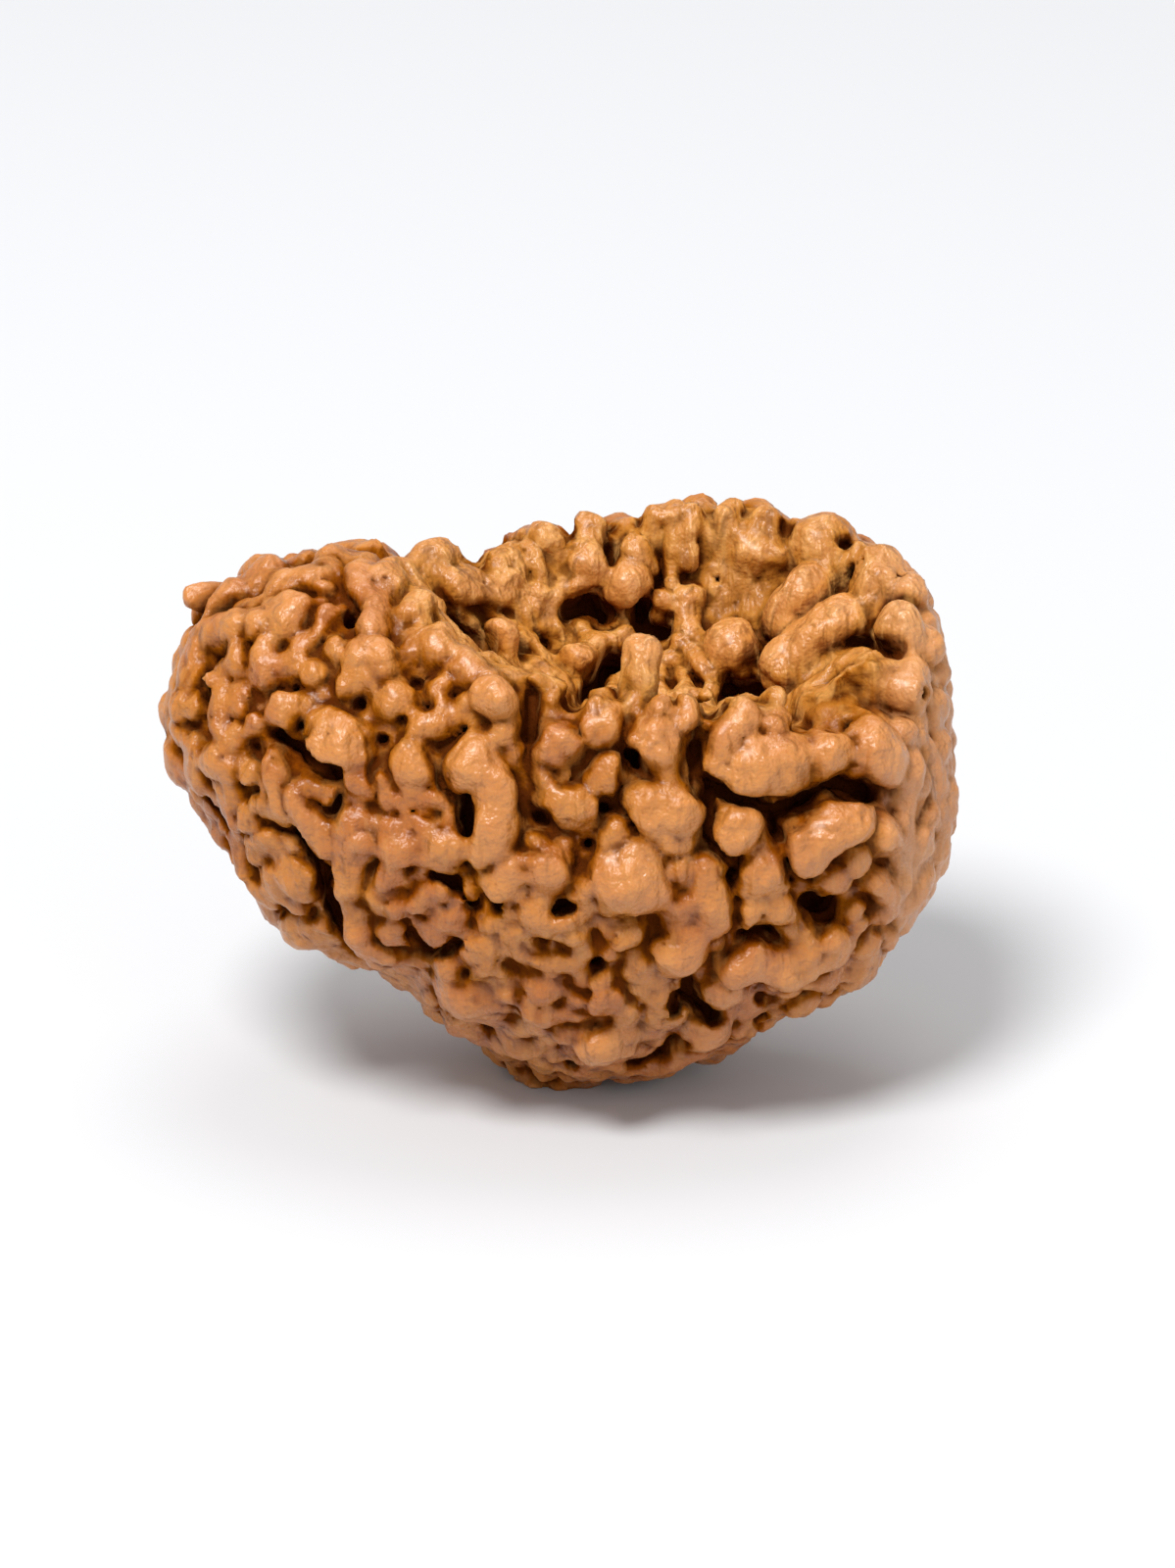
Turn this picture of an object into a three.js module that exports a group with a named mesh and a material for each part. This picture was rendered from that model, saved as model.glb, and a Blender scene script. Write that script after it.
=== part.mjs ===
// One-faced half-moon rudraksha seed: a single grown stone, 24 mm long, lying belly down on a
// small flat spot with its hollow side up. Sizes are in millimetres and +Z is up.
import * as THREE from "three";

// Driving sizes of the body. The half-moon's outline is given on a face plane that leans back
// from upright by FACE_LEAN: "right" and "up" run across that plane and "away" goes through it.
const FACE_LEAN = THREE.MathUtils.degToRad(25);
const HALF_THICKNESS = 5.6;
const FULLNESS = 2.35; // power of the body's cross-section: 2 is an ellipse, more is boxier
const BACK_BOW = 0.025; // how far the outline bows away at its top and foot, per mm squared
const UPRIGHT_LEAN = 0.1; // how far the outline comes forward, per mm up the face plane
const FACE_MIDDLE = new THREE.Vector3(0, 0, 9.5); // middle of the face plane in the seed's frame
const OUTLINE_BLEND = 75; // how tightly the outline follows its points: more is tighter

// Outline of the body between its knobs, [right, up], clockwise from the blunt left end.
const OUTLINE = [
  [-11.8, 1.8], [-10.9, 3.3], [-10.5, 5.0], [-10.1, 6.1], [-8.6, 6.6], [-7.4, 6.7],
  [-6.0, 6.9], [-4.4, 6.6], [-2.6, 6.8], [-1.5, 7.7], [0.4, 7.7], [2.1, 8.1],
  [4.4, 8.7], [6.7, 8.0], [8.6, 7.4], [10.3, 7.0], [11.2, 6.0], [11.3, 4.4],
  [11.4, 2.2], [11.75, 0], [11.5, -2.0], [10.9, -3.8], [9.4, -5.0], [8.1, -6.3],
  [6.1, -6.8], [4.8, -7.8], [3.2, -8.4], [1.2, -8.6], [-0.8, -8.1], [-2.8, -7.2],
  [-4.4, -5.7], [-5.6, -4.8], [-7.3, -5.0], [-8.1, -3.5], [-9.3, -2.5], [-9.6, -1.1],
  [-10.5, 0.4],
];

// The hollow of the upper side: an egg-shaped space, and a shallow valley in front of its right.
const HOLLOW_MIDDLE = new THREE.Vector3(3.4, 0.1, 17);
const HOLLOW_HALF = new THREE.Vector3(7.4, 4.3, 4.7);
const HOLLOW_BLEND = 1.2;
const VALLEY_RADIUS = 0.8;
const VALLEY_DEPTH = 1.0;
const VALLEY_POINTS = [[5.6, 2.8], [7.6, 2.4], [9.6, 2.7]];
const GAP_DEPTH = 0.12; // how far the ground between the knobs lies below the body

// The relief is calmer on the belly, on the right flank and round the hollow's rim: each pair
// gives where the calm starts and where it is full.
const CALM_HEIGHTS = [9.5, 5.0];
const CALM_RIGHTS = [9.6, 11.0];
const CALM_RIM = [2.4, 0.8]; // distances from the hollow's space
const CALM_RIM_SHARE = 0.8;
const CALM_KNOBS = 0.5; // how much lower the calm knobs are
const CALM_GAPS = 0.6; // and how much shallower the gaps between them

// Notches across the rim, [right, up, radius], and how far they reach to either side.
const NOTCHES = [
  [-4.65, 7.4, 0.35], [-2.5, 7.2, 0.28], [0.35, 8.1, 0.22], [-5.6, -5.9, 0.45],
];
const NOTCH_REACH = 6;

// The hook at the left end's upper corner, [right, up, away, radius] at its foot and tip.
const HOOK = [[-9.3, 5.95, -0.4, 0.62], [-10.8, 5.75, -0.9, 0.36]];

// Knobs on the face, [right, up, radius, height above the body].
const KNOBS = [
  [-10.6, 5.2, 0.44, 0.4], [-8.9, 6.4, 0.75, 0.6], [-9.5, 5.7, 0.4, 0.4], [-8.5, 4.9, 0.58, 0.5],
  [-7.75, 5.15, 0.6, 0.65], [-7.0, 5.95, 0.35, 0.3], [-6.85, 7.05, 0.5, 0.6],
  [-6.0, 6.8, 0.65, 0.45], [-5.1, 6.1, 0.53, 0.5], [-6.45, 4.2, 0.35, 0.35],
  [-7.15, 3.45, 0.36, 0.3], [-5.35, 3.75, 0.78, 0.6], [-3.75, 6.85, 0.72, 0.65],
  [-4.1, 5.25, 0.5, 0.45], [-3.6, 4.25, 0.6, 0.4], [-1.85, 6.8, 0.45, 0.5],
  [-0.4, 7.5, 0.45, 0.55], [0.8, 6.8, 0.65, 0.7], [0.95, 7.9, 0.45, 0.6],
  [0.8, 6.25, 0.5, 0.7], [2.05, 6.25, 0.65, 0.9], [2.4, 7.2, 0.45, 0.6],
  [0.65, 3.7, 0.55, 0.7], [5.95, 7.2, 1.0, 0.5], [5.2, 8.3, 0.35, 0.5],
  [6.45, 8.2, 0.42, 0.5], [7.95, 7.5, 0.8, 0.5], [9.05, 7.2, 0.45, 0.35],
  [9.75, 6.9, 0.6, 0.55], [9.6, 6.2, 0.6, 0.6], [9.45, 5.5, 0.65, 0.6],
  [10.5, 5.95, 0.53, 0.5], [10.2, 4.9, 0.6, 0.6], [11.05, 4.3, 0.45, 0.4],
  [8.0, 4.1, 0.45, 0.6], [6.7, 3.45, 0.35, 0.5], [3.3, 5.65, 0.36, 0.5],
  [4.05, 5.8, 0.36, 0.55], [5.35, 4.1, 0.66, 1.1], [3.6, 3.9, 0.3, 0.4],
  [-11.6, 1.7, 0.42, 0.4], [-9.8, 0.95, 0.66, 0.55], [-8.9, 0.6, 0.4, 0.35],
  [-8.9, -0.75, 0.45, 0.4], [-8.3, -1.45, 0.45, 0.4], [-7.7, -2.6, 0.66, 0.55],
  [-7.5, -4.1, 0.9, 0.5], [-5.9, -1.2, 0.75, 0.55], [-1.75, 2.5, 0.58, 1.2],
  [-4.05, 0.8, 0.66, 0.6], [-4.2, 0.05, 0.36, 0.35], [-3.6, -0.15, 0.36, 0.35],
  [-4.65, 2.7, 0.58, 0.45], [0.1, 1.3, 0.66, 0.6], [1.4, 1.95, 0.58, 0.6],
  [1.45, 0.5, 0.53, 0.5], [-1.4, -2.4, 0.72, 0.65], [-0.25, -2.3, 0.72, 0.65],
  [3.05, 1.4, 0.75, 0.8], [3.45, -1.4, 0.55, 0.5], [2.2, -2.5, 1.25, 0.95],
  [7.95, 1.05, 0.62, 0.75], [5.25, -1.05, 0.62, 0.75], [9.3, 1.15, 0.9, 0.85],
  [10.4, 0.5, 0.6, 0.4], [9.55, -1.35, 0.65, 0.55], [11.1, -0.7, 0.3, 0.3],
  [-3.35, -2.9, 0.38, 0.35], [-3.1, -3.7, 0.58, 0.45], [-3.5, -4.3, 0.5, 0.35],
  [-1.25, -4.2, 0.45, 0.35], [0.5, -4.1, 0.5, 0.4], [-2.5, -6.1, 1.3, 0.35],
  [3.6, -4.5, 0.88, 0.65], [-0.5, -5.8, 1.1, 0.35], [1.5, -6.15, 0.5, 0.4],
  [1.55, -7.3, 0.9, 0.6], [4.45, -7.1, 0.75, 0.6], [5.5, -7.0, 0.45, 0.45],
  [6.1, -2.3, 0.72, 0.6], [4.95, -5.85, 0.68, 0.55], [7.3, -6.3, 0.5, 0.4],
  [9.1, -4.6, 0.55, 0.35], [-5.0, -3.2, 0.8, 0.45], [-4.9, -4.7, 0.55, 0.4],
  [2.2, -4.0, 0.55, 0.4], [0.3, -7.2, 0.55, 0.35], [8.0, -2.6, 0.6, 0.45],
];

// Ridges on the face, [radius, height above the body, ...points right and up].
const RIDGES = [
  [0.33, 0.55, [-10.9, 5.9], [-10.1, 6.15]],
  [0.52, 0.5, [-9.35, 4.75], [-10.4, 4.4], [-10.9, 3.45], [-11.05, 2.55]],
  [0.4, 0.4, [-9.95, 3.5], [-9.9, 1.95]],
  [0.45, 0.5, [-5.75, 6.3], [-5.45, 4.7]],
  [0.5, 0.6, [-3.2, 6.1], [-1.7, 5.9]],
  [0.3, 0.3, [-1.4, 7.1], [-1.0, 5.0]],
  [0.3, 0.3, [-0.75, 7.2], [-0.55, 4.9]],
  [0.3, 0.3, [0.0, 7.1], [-0.15, 4.9]],
  [0.3, 0.4, [0.95, 4.2], [2.1, 4.6]],
  [0.3, 0.45, [3.0, 8.2], [2.9, 6.8]],
  [0.3, 0.45, [3.6, 8.3], [3.45, 6.3]],
  [0.3, 0.45, [4.1, 8.2], [3.9, 6.9]],
  [0.6, 0.9, [7.85, 6.1], [6.95, 5.15]],
  [0.62, 0.95, [8.9, 4.9], [6.95, 3.5]],
  [0.3, 0.45, [3.9, 5.5], [4.3, 4.3]],
  [0.36, 0.5, [3.9, 4.2], [4.5, 3.45]],
  [0.37, 0.35, [-8.2, 0.8], [-7.9, -0.7]],
  [0.42, 0.45, [-7.45, -0.15], [-6.9, -1.5]],
  [0.35, 0.3, [-7.1, 0.15], [-6.6, 0.05]],
  [0.74, 0.65, [-6.85, 1.5], [-6.0, 1.25]],
  [0.42, 0.4, [-9.65, 0.2], [-9.35, -1.25], [-9.0, -2.3], [-8.4, -3.2]],
  [0.4, 0.45, [-6.1, -1.6], [-5.95, -2.75], [-5.75, -4.0], [-5.2, -4.9]],
  [0.45, 0.5, [-1.75, 3.0], [-1.4, 1.7]],
  [0.42, 0.45, [-3.75, 1.9], [-2.55, 2.4]],
  [0.54, 0.75, [-2.65, 0.65], [-2.3, 1.15], [-1.85, 0.35], [-1.75, -0.55], [-1.9, -1.55]],
  [0.68, 0.5, [-4.65, -1.4], [-3.1, -1.6]],
  [0.6, 0.5, [0.0, -0.45], [0.55, -0.45]],
  [0.68, 0.75, [2.75, -0.5], [3.5, -0.55]],
  [0.42, 0.65, [5.4, 2.25], [4.95, 1.5], [4.55, 0.75]],
  [0.72, 0.9, [5.6, 0.7], [6.65, 0.75]],
  [0.7, 0.75, [8.5, -0.85], [7.3, -1.6]],
  [0.53, 0.5, [4.55, -2.3], [4.55, -3.75]],
  [0.48, 0.45, [5.8, -3.4], [6.55, -3.4]],
  [0.65, 0.6, [5.5, -4.95], [6.8, -5.15], [8.1, -4.6]],
  [0.35, 0.25, [10.3, -0.3], [10.2, -2.6], [9.6, -3.6]],
];

// Fingers that stand up from the hollow's near rim, [radius, foot's right and up, tip's]. The
// rounded foot stands FINGER_FOOT of its radius above the body.
const FINGERS = [
  [0.52, [-1.4, 3.7], [-1.55, 4.9]],
  [0.56, [2.4, 2.5], [2.55, 4.2]],
];
const FINGER_FOOT = 0.5;

// Pits on the face, [right, up, mouth radius, depth below the body].
const PITS = [
  [-6.05, 5.0, 0.32, 1.3], [-5.7, 2.55, 0.25, 0.8], [-0.35, 4.4, 0.2, 0.9],
  [4.85, 6.4, 0.25, 0.4], [-8.9, 1.3, 0.2, 0.6],
  [-5.1, 1.5, 0.22, 0.9], [-0.5, -0.8, 0.32, 1.2], [0.85, -1.55, 0.25, 1.3],
  [1.4, -0.5, 0.24, 1.1], [2.4, 0.7, 0.36, 1.2], [1.1, -5.1, 0.25, 1.0],
  [-2.0, -7.15, 0.3, 1.0], [6.1, -6.15, 0.2, 0.8], [-2.6, 6.7, 0.2, 0.9],
  [0.5, -8.2, 0.25, 0.9],
];

// Slits and crevices on the face, [radius, depth below the body, ...points right and up].
const SLITS = [
  [0.58, 2.4, [-3.0, 5.05], [-2.3, 4.3]],
  [0.36, 1.4, [0.4, 5.45], [0.95, 5.65], [1.4, 5.3]],
  [0.28, 1.3, [2.55, 5.6], [2.5, 4.95], [3.3, 4.8]],
  [0.34, 1.6, [1.8, 3.95], [1.1, 3.2], [0.5, 2.6]],
  [0.26, 1.2, [4.4, 2.3], [5.2, 3.15], [5.9, 3.1], [6.5, 2.4]],
  [0.22, 1.0, [9.0, 4.45], [9.6, 4.3], [10.3, 4.1]],
  [0.2, 1.0, [-10.0, 3.8], [-10.25, 2.95]],
  [0.3, 1.3, [-8.2, 1.7], [-7.2, 1.0], [-6.4, 0.6]],
  [0.2, 1.6, [-7.5, -1.1], [-7.2, -1.85], [-6.85, -2.5], [-6.75, -3.4]],
  [0.27, 1.6, [-6.75, -3.3], [-6.4, -4.1], [-5.9, -4.9]],
  [0.18, 0.8, [-0.75, 2.9], [-0.7, 1.6]],
  [0.22, 1.3, [-2.55, 0.1], [-2.65, -0.7], [-2.4, -1.8]],
  [0.2, 1.1, [2.15, 3.0], [2.1, 1.0]],
  [0.26, 1.5, [4.4, 0.3], [5.2, -0.1], [6.3, -0.6], [7.3, -0.2], [8.2, 0.25], [9.3, -0.1]],
  [0.2, 1.2, [4.5, 0.0], [4.5, -1.2], [5.2, -1.75]],
  [0.2, 1.1, [6.2, -0.7], [6.5, -1.3]],
  [0.2, 1.0, [6.8, -1.95], [7.4, -2.4]],
  [0.42, 2.0, [7.45, -3.3], [7.9, -3.75], [8.2, -3.4]],
  [0.24, 1.0, [5.5, -4.25], [6.3, -4.15]],
  [0.28, 1.2, [3.9, -5.7], [4.0, -6.2], [4.6, -6.7]],
  [0.24, 1.0, [3.6, -7.4], [3.1, -7.95], [2.4, -8.2]],
];

// Knobs over the rest of the seed, wherever there is room, largest first. In the hollow they are
// low flutes that run down towards its foot.
const FILL_SEED = 20731;
const FILL_TRIES = 7000;
const FILL_RADIUS = [0.95, 0.26];
const FILL_SPACING = 0.7; // of the two radii added, from one knob's middle to the next
const FILL_HEIGHT = 0.8; // of the knob's radius
const FILL_STRETCH = 1.8; // longest knob's length, over its radius
const FILL_TURN = 1.5; // how far the longer knobs may lie round from the way up, in all
const FILL_SWELL = [0.8, 1.2]; // least and most share of the radius in turn
const PIT_MARGIN = 0.7; // of a knob's radius, from a pit's edge to the knob's middle
const FLUTE_REACH = 0.6; // how far round the hollow's space there are flutes
const FLUTE_RADIUS = 0.36;
const FLUTE_HEIGHT = 0.2;
const FLUTE_LENGTH = 2.0;
const HOLLOW_FOOT = new THREE.Vector3(3.2, -0.8, 12.1);

// How the forms run into each other, and how the whole surface wavers.
const KNOB = { cuts: false, blend: 0.1 };
const PIT = { cuts: true, blend: 0.2 };
const VALLEY = { cuts: true, blend: 0.8 };
const PIT_TAPER = 0.6; // a pit's radius at its foot, over that at its mouth
const SLIT_STEP = 1.3; // of a slit's radius, from one row of its rods down to the next
const KNOB_LIFT = 1.15; // the placed knobs and ridges stand this much higher than listed
const KNOB_WIDTH = 1.26; // and are this much wider
const ROOT_DEPTH = 0.55; // how far below a knob's middle its root's middle lies
const ROOT_SWELL = 1.12; // the root's radius, over the knob's
const WAVER = [0.09, 0.06];
const WAVER_TURNS = [1.7, 3.1]; // radians per millimetre
const WAVER_STARTS = [1.3, 2.1, 4.4]; // where the waves begin along each axis, in radians
const WAVER_SKEW = 0.4;
const MOST_WAVER = 0.3; // no place is moved further than this

// The flat spot that the seed rests on is where the ground cuts a low mound under the belly. No
// knob stands near its middle or comes down to the ground.
const FLAT_MIDDLE = new THREE.Vector3(0.4, 0.85, 0);
const FLAT_CLEAR = 2.1;
const MOUND_RADIUS = 2.6;
const MOUND_HEIGHT = 1.75;
const GROUND_CLEAR = 0.08;

// Fill knobs start from places that are seen from CORE, along rays stretched by CORE_SHAPE.
const CORE = new THREE.Vector3(0.5, -0.6, 7.2);
const CORE_SHAPE = new THREE.Vector3(11.5, 6.3, 7.5);
const REACH = 16;

// How places on the bare body are found: by steps along a line and then by halving the last.
const SEARCH_STEP = 0.25;
const HALVINGS = 24;
const STAND_OFF = 2; // how far outside the body's thickness a line starts and ends
const OUTLINE_SHARE = 0.975; // no line meets the face nearer to its outline than this
const SLOPE_STEP = 0.05; // between the places that a slope is worked out from
const TINY = 1e-6; // keeps a divisor off zero

// The mesh: the surface is found on a grid of cells. Then the edges that matter least to the
// shape close up until TRIANGLES are left. Knobs under SMALLEST_KNOB are too fine for it.
const SMALLEST_KNOB = 0.36;
const CELL = 0.28;
const GRID_LOW = new THREE.Vector3(-13.2, -8.3, -1.5 * CELL);
const GRID_HIGH = new THREE.Vector3(13.2, 8.9, 18.2);
const LEAST_CUT = 0.06; // a grid edge isn't cut nearer to its end than this share of it
const EASING = [0.55, -0.4, 0.55, -0.4]; // how far points go towards their neighbours' middle
const TRIANGLES = 11800;
const MOST_TURN = 0.25; // a face may turn while an edge closes up until this cosine
const EDGE_COST = 1e-4; // keeps short edges first where the shape is equally good
const LEAST_SETTLED = 1e-3; // planes nearer to one another than this don't settle a point
const FLAT_SNAP = 0.02; // what comes this close to z = 0, or under it, lies on it

const leanCos = Math.cos(FACE_LEAN);
const leanSin = Math.sin(FACE_LEAN);

// A point of the face plane's own axes in the seed's frame, and the other way round.
function fromFace(right, up, away) {
  return new THREE.Vector3(right, up * leanSin + away * leanCos, up * leanCos - away * leanSin)
    .add(FACE_MIDDLE);
}

function toFace(point) {
  const x = point.x - FACE_MIDDLE.x;
  const y = point.y - FACE_MIDDLE.y;
  const z = point.z - FACE_MIDDLE.z;
  return [x, z * leanCos + y * leanSin, y * leanCos - z * leanSin];
}

// The outline's radius at an angle: a weighted mean of its points, the nearest weighing most.
const outlineRays = OUTLINE.map(([right, up]) => [Math.atan2(up, right), Math.hypot(right, up)]);

function outlineRadius(angle) {
  let weight = 0;
  let total = 0;
  for (const [rayAngle, rayLength] of outlineRays) {
    const share = Math.exp(OUTLINE_BLEND * (Math.cos(angle - rayAngle) - 1));
    weight += share;
    total += share * rayLength;
  }
  return total / weight;
}

// Distance-like values: below zero inside, above zero outside.
function smoothJoin(a, b, blend) {
  const overlap = Math.max(blend - Math.abs(a - b), 0) / blend;
  return Math.min(a, b) - (overlap * overlap * blend) / 4;
}

function smoothCut(a, b, blend) {
  return -smoothJoin(-a, b, blend);
}

function bodyDistance(point) {
  const [right, up, away] = toFace(point);
  const across = Math.hypot(right, up);
  const through = away - BACK_BOW * up * up + UPRIGHT_LEAN * up;
  const share =
    (across / outlineRadius(Math.atan2(up, right))) ** FULLNESS +
    Math.abs(through / HALF_THICKNESS) ** FULLNESS;
  const size = share ** (1 / FULLNESS);
  return Math.hypot(across, through) * (1 - 1 / Math.max(size, TINY));
}

function hollowDistance(point) {
  const offset = point.clone().sub(HOLLOW_MIDDLE);
  const size = offset.clone().divide(HOLLOW_HALF).length();
  return offset.length() * (1 - 1 / Math.max(size, TINY));
}

// 1 where the relief is calm, and 0 where it is full.
function calmness(point) {
  const share = (value, [none, full]) =>
    THREE.MathUtils.smoothstep((value - none) / (full - none), 0, 1);
  const rim = CALM_RIM_SHARE * share(hollowDistance(point), CALM_RIM);
  return Math.max(rim, share(point.z, CALM_HEIGHTS), share(point.x, CALM_RIGHTS));
}

// Strokes are measured at these places, so that they come out crooked.
function wavered({ x, y, z }) {
  const moved = new THREE.Vector3(x, y, z);
  WAVER.forEach((size, i) => {
    const turn = WAVER_TURNS[i];
    moved.x += size * Math.sin(turn * (y + WAVER_SKEW * z) + WAVER_STARTS[0]);
    moved.y += size * Math.sin(turn * (z + WAVER_SKEW * x) + WAVER_STARTS[1]);
    moved.z += size * Math.sin(turn * (x + WAVER_SKEW * y) + WAVER_STARTS[2]);
  });
  return moved;
}

// A stroke is a round-ended rod. This is how far a point is from its middle line, and how far
// along the rod, from 0 to 1, the nearest place is.
function lineGap({ start, run, lengthSquared }, point) {
  const x = point.x - start.x;
  const y = point.y - start.y;
  const z = point.z - start.z;
  const along = (x * run.x + y * run.y + z * run.z) / Math.max(lengthSquared, TINY);
  const share = THREE.MathUtils.clamp(along, 0, 1);
  const gap = (x - share * run.x) ** 2 + (y - share * run.y) ** 2 + (z - share * run.z) ** 2;
  return [Math.sqrt(gap), share];
}

function strokeDistance(stroke, point) {
  const [gap, share] = lineGap(stroke, point);
  return gap - THREE.MathUtils.lerp(stroke.startRadius, stroke.endRadius, share);
}

function rod(kind, from, to, startRadius, endRadius = startRadius) {
  const start = wavered(from);
  const run = wavered(to).sub(start);
  return {
    ...kind,
    start,
    run,
    lengthSquared: run.lengthSq(),
    startRadius,
    endRadius,
    middle: start.clone().addScaledVector(run, 0.5),
    bound: run.length() / 2 + Math.max(startRadius, endRadius) + kind.blend,
  };
}

// What shapes the bare body before any knob stands on it: filled with the valley's rods below.
const bareStrokes = [];

function merged(value, stroke, point) {
  const merge = stroke.cuts ? smoothCut : smoothJoin;
  return merge(value, strokeDistance(stroke, point), stroke.blend);
}

function bareValue(point) {
  const start = smoothCut(bodyDistance(point), hollowDistance(point), HOLLOW_BLEND);
  const crooked = wavered(point);
  return bareStrokes.reduce((value, stroke) => merged(value, stroke, crooked), start);
}

function bareNormal(point) {
  const slope = (axis) => {
    const ahead = point.clone();
    const behind = point.clone();
    ahead[axis] += SLOPE_STEP;
    behind[axis] -= SLOPE_STEP;
    return bareValue(ahead) - bareValue(behind);
  };
  return new THREE.Vector3(slope("x"), slope("y"), slope("z")).normalize();
}

// Where a straight line first meets the bare body, coming in from outside.
function firstHit(from, direction, length) {
  const at = (distance) => from.clone().addScaledVector(direction, distance);
  let near = 0;
  while (near < length && bareValue(at(near)) > 0) near += SEARCH_STEP;
  let outside = near - SEARCH_STEP;
  for (let round = 0; round < HALVINGS; round++) {
    const half = (outside + near) / 2;
    if (bareValue(at(half)) > 0) outside = half;
    else near = half;
  }
  return at(near);
}

// A place on the face: its point on the bare body, seen square to the face plane, and its normal.
const awayAxis = new THREE.Vector3(0, leanCos, -leanSin);

function facePlace([right, up]) {
  const limit = outlineRadius(Math.atan2(up, right)) * OUTLINE_SHARE;
  const share = Math.min(1, limit / Math.max(Math.hypot(right, up), TINY));
  const from = fromFace(right * share, up * share, -HALF_THICKNESS - STAND_OFF);
  const point = firstHit(from, awayAxis, 2 * (HALF_THICKNESS + STAND_OFF));
  return { point, normal: bareNormal(point) };
}

function raised(place, radius, height) {
  return place.point.clone().addScaledVector(place.normal, height - radius);
}

// A rounded ridge through the places, or a knob where there is one, with its wider root.
function addRidge(strokes, radius, height, places) {
  const points = places.map((place) => raised(place, radius, height));
  const roots = places.map((place) => raised(place, radius, height - ROOT_DEPTH));
  const rootRadius = ROOT_SWELL * radius;
  if (points.length === 1) {
    strokes.push(rod(KNOB, points[0], roots[0], radius, rootRadius));
    return;
  }
  for (let i = 1; i < points.length; i++) {
    strokes.push(rod(KNOB, points[i - 1], points[i], radius));
    strokes.push(rod(KNOB, roots[i - 1], roots[i], rootRadius));
  }
}

// A pit is a tapered drill hole, and a slit is a fan of rods between the drill holes' ends. Both
// go in halfway between square to the body and square to the face plane.
function drilled(place, height) {
  const way = place.normal.clone().sub(awayAxis).normalize();
  return place.point.clone().addScaledVector(way, height);
}

function addPit(strokes, radius, depth, place) {
  const mouth = drilled(place, 2 * radius);
  const foot = drilled(place, radius * PIT_TAPER - depth);
  strokes.push(rod(PIT, mouth, foot, radius, radius * PIT_TAPER));
}

function addSlit(strokes, radius, depth, places) {
  const levels = Math.ceil(depth / (SLIT_STEP * radius)) + 1;
  for (let level = 0; level <= levels; level++) {
    const share = level / levels;
    const height = radius - share * depth;
    const width = radius * (1 - share * (1 - PIT_TAPER));
    const points = places.map((place) => drilled(place, height));
    for (let i = 0; i + 1 < points.length; i++) {
      strokes.push(rod(PIT, points[i], points[i + 1], width));
    }
  }
}

// A repeatable row of numbers from 0 to 1.
function repeatableNumbers(seed) {
  const factor = 48271;
  const prime = 2 ** 31 - 1;
  let state = seed;
  return () => {
    state = (state * factor) % prime;
    return state / prime;
  };
}

function coreDirection(turn, height) {
  const angle = 2 * Math.PI * turn;
  const ring = Math.sqrt(1 - height * height);
  return new THREE.Vector3(ring * Math.cos(angle), ring * Math.sin(angle), height)
    .multiply(CORE_SHAPE)
    .normalize();
}

function corePlace(turn, height) {
  const direction = coreDirection(turn, height);
  const from = CORE.clone().addScaledVector(direction, REACH);
  const point = firstHit(from, direction.clone().negate(), REACH);
  return { point, normal: bareNormal(point) };
}

// Fills the room between the hand-placed forms with knobs that shrink as the room runs out.
function addFill(knobStrokes, pitStrokes) {
  const random = repeatableNumbers(FILL_SEED);
  const tops = [...knobStrokes];
  for (let tries = 0; tries < FILL_TRIES; tries++) {
    const share = Math.sqrt(tries / FILL_TRIES);
    const [turn, level, swell, stretch, heading] = [random(), random(), random(), random(), random()];
    const place = corePlace(turn, 2 * level - 1);
    const isFlute = hollowDistance(place.point) < FLUTE_REACH;
    const size = isFlute ? FLUTE_RADIUS : THREE.MathUtils.lerp(...FILL_RADIUS, share);
    const radius = size * THREE.MathUtils.lerp(...FILL_SWELL, swell);
    if (place.point.distanceTo(FLAT_MIDDLE) < FLAT_CLEAR + radius) continue;
    const crooked = wavered(place.point);
    const isOnTop = (stroke) =>
      lineGap(stroke, crooked)[0] < FILL_SPACING * (radius + stroke.startRadius);
    const isOverPit = (stroke) =>
      lineGap(stroke, crooked)[0] < stroke.startRadius + PIT_MARGIN * radius;
    if (tops.some(isOnTop) || pitStrokes.some(isOverPit)) continue;
    const side = new THREE.Vector3(0, 0, 1);
    if (isFlute) side.copy(HOLLOW_FOOT).sub(place.point);
    side.projectOnPlane(place.normal).normalize();
    if (!isFlute) side.applyAxisAngle(place.normal, FILL_TURN * (heading - 0.5));
    const half = (isFlute ? FLUTE_LENGTH : FILL_STRETCH * radius * stretch * stretch) / 2;
    const ends = [-half, half].map((step) => {
      const point = place.point.clone().addScaledVector(side, step);
      return { point: point.addScaledVector(place.normal, -bareValue(point)), normal: place.normal };
    });
    const room = place.normal.z < 0 ? (GROUND_CLEAR - place.point.z) / place.normal.z : Infinity;
    const full = FILL_HEIGHT * radius * (1 - CALM_KNOBS * calmness(place.point));
    const strokes = [];
    addRidge(strokes, radius, Math.min(isFlute ? FLUTE_HEIGHT : full, room), ends);
    tops.push(strokes[0]);
    if (radius > SMALLEST_KNOB) knobStrokes.push(...strokes);
  }
}

function valleyStrokes() {
  const places = VALLEY_POINTS.map(facePlace);
  const points = places.map((place) => raised(place, VALLEY_RADIUS, 2 * VALLEY_RADIUS - VALLEY_DEPTH));
  return points.slice(1).map((end, i) => rod(VALLEY, points[i], end, VALLEY_RADIUS));
}

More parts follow.
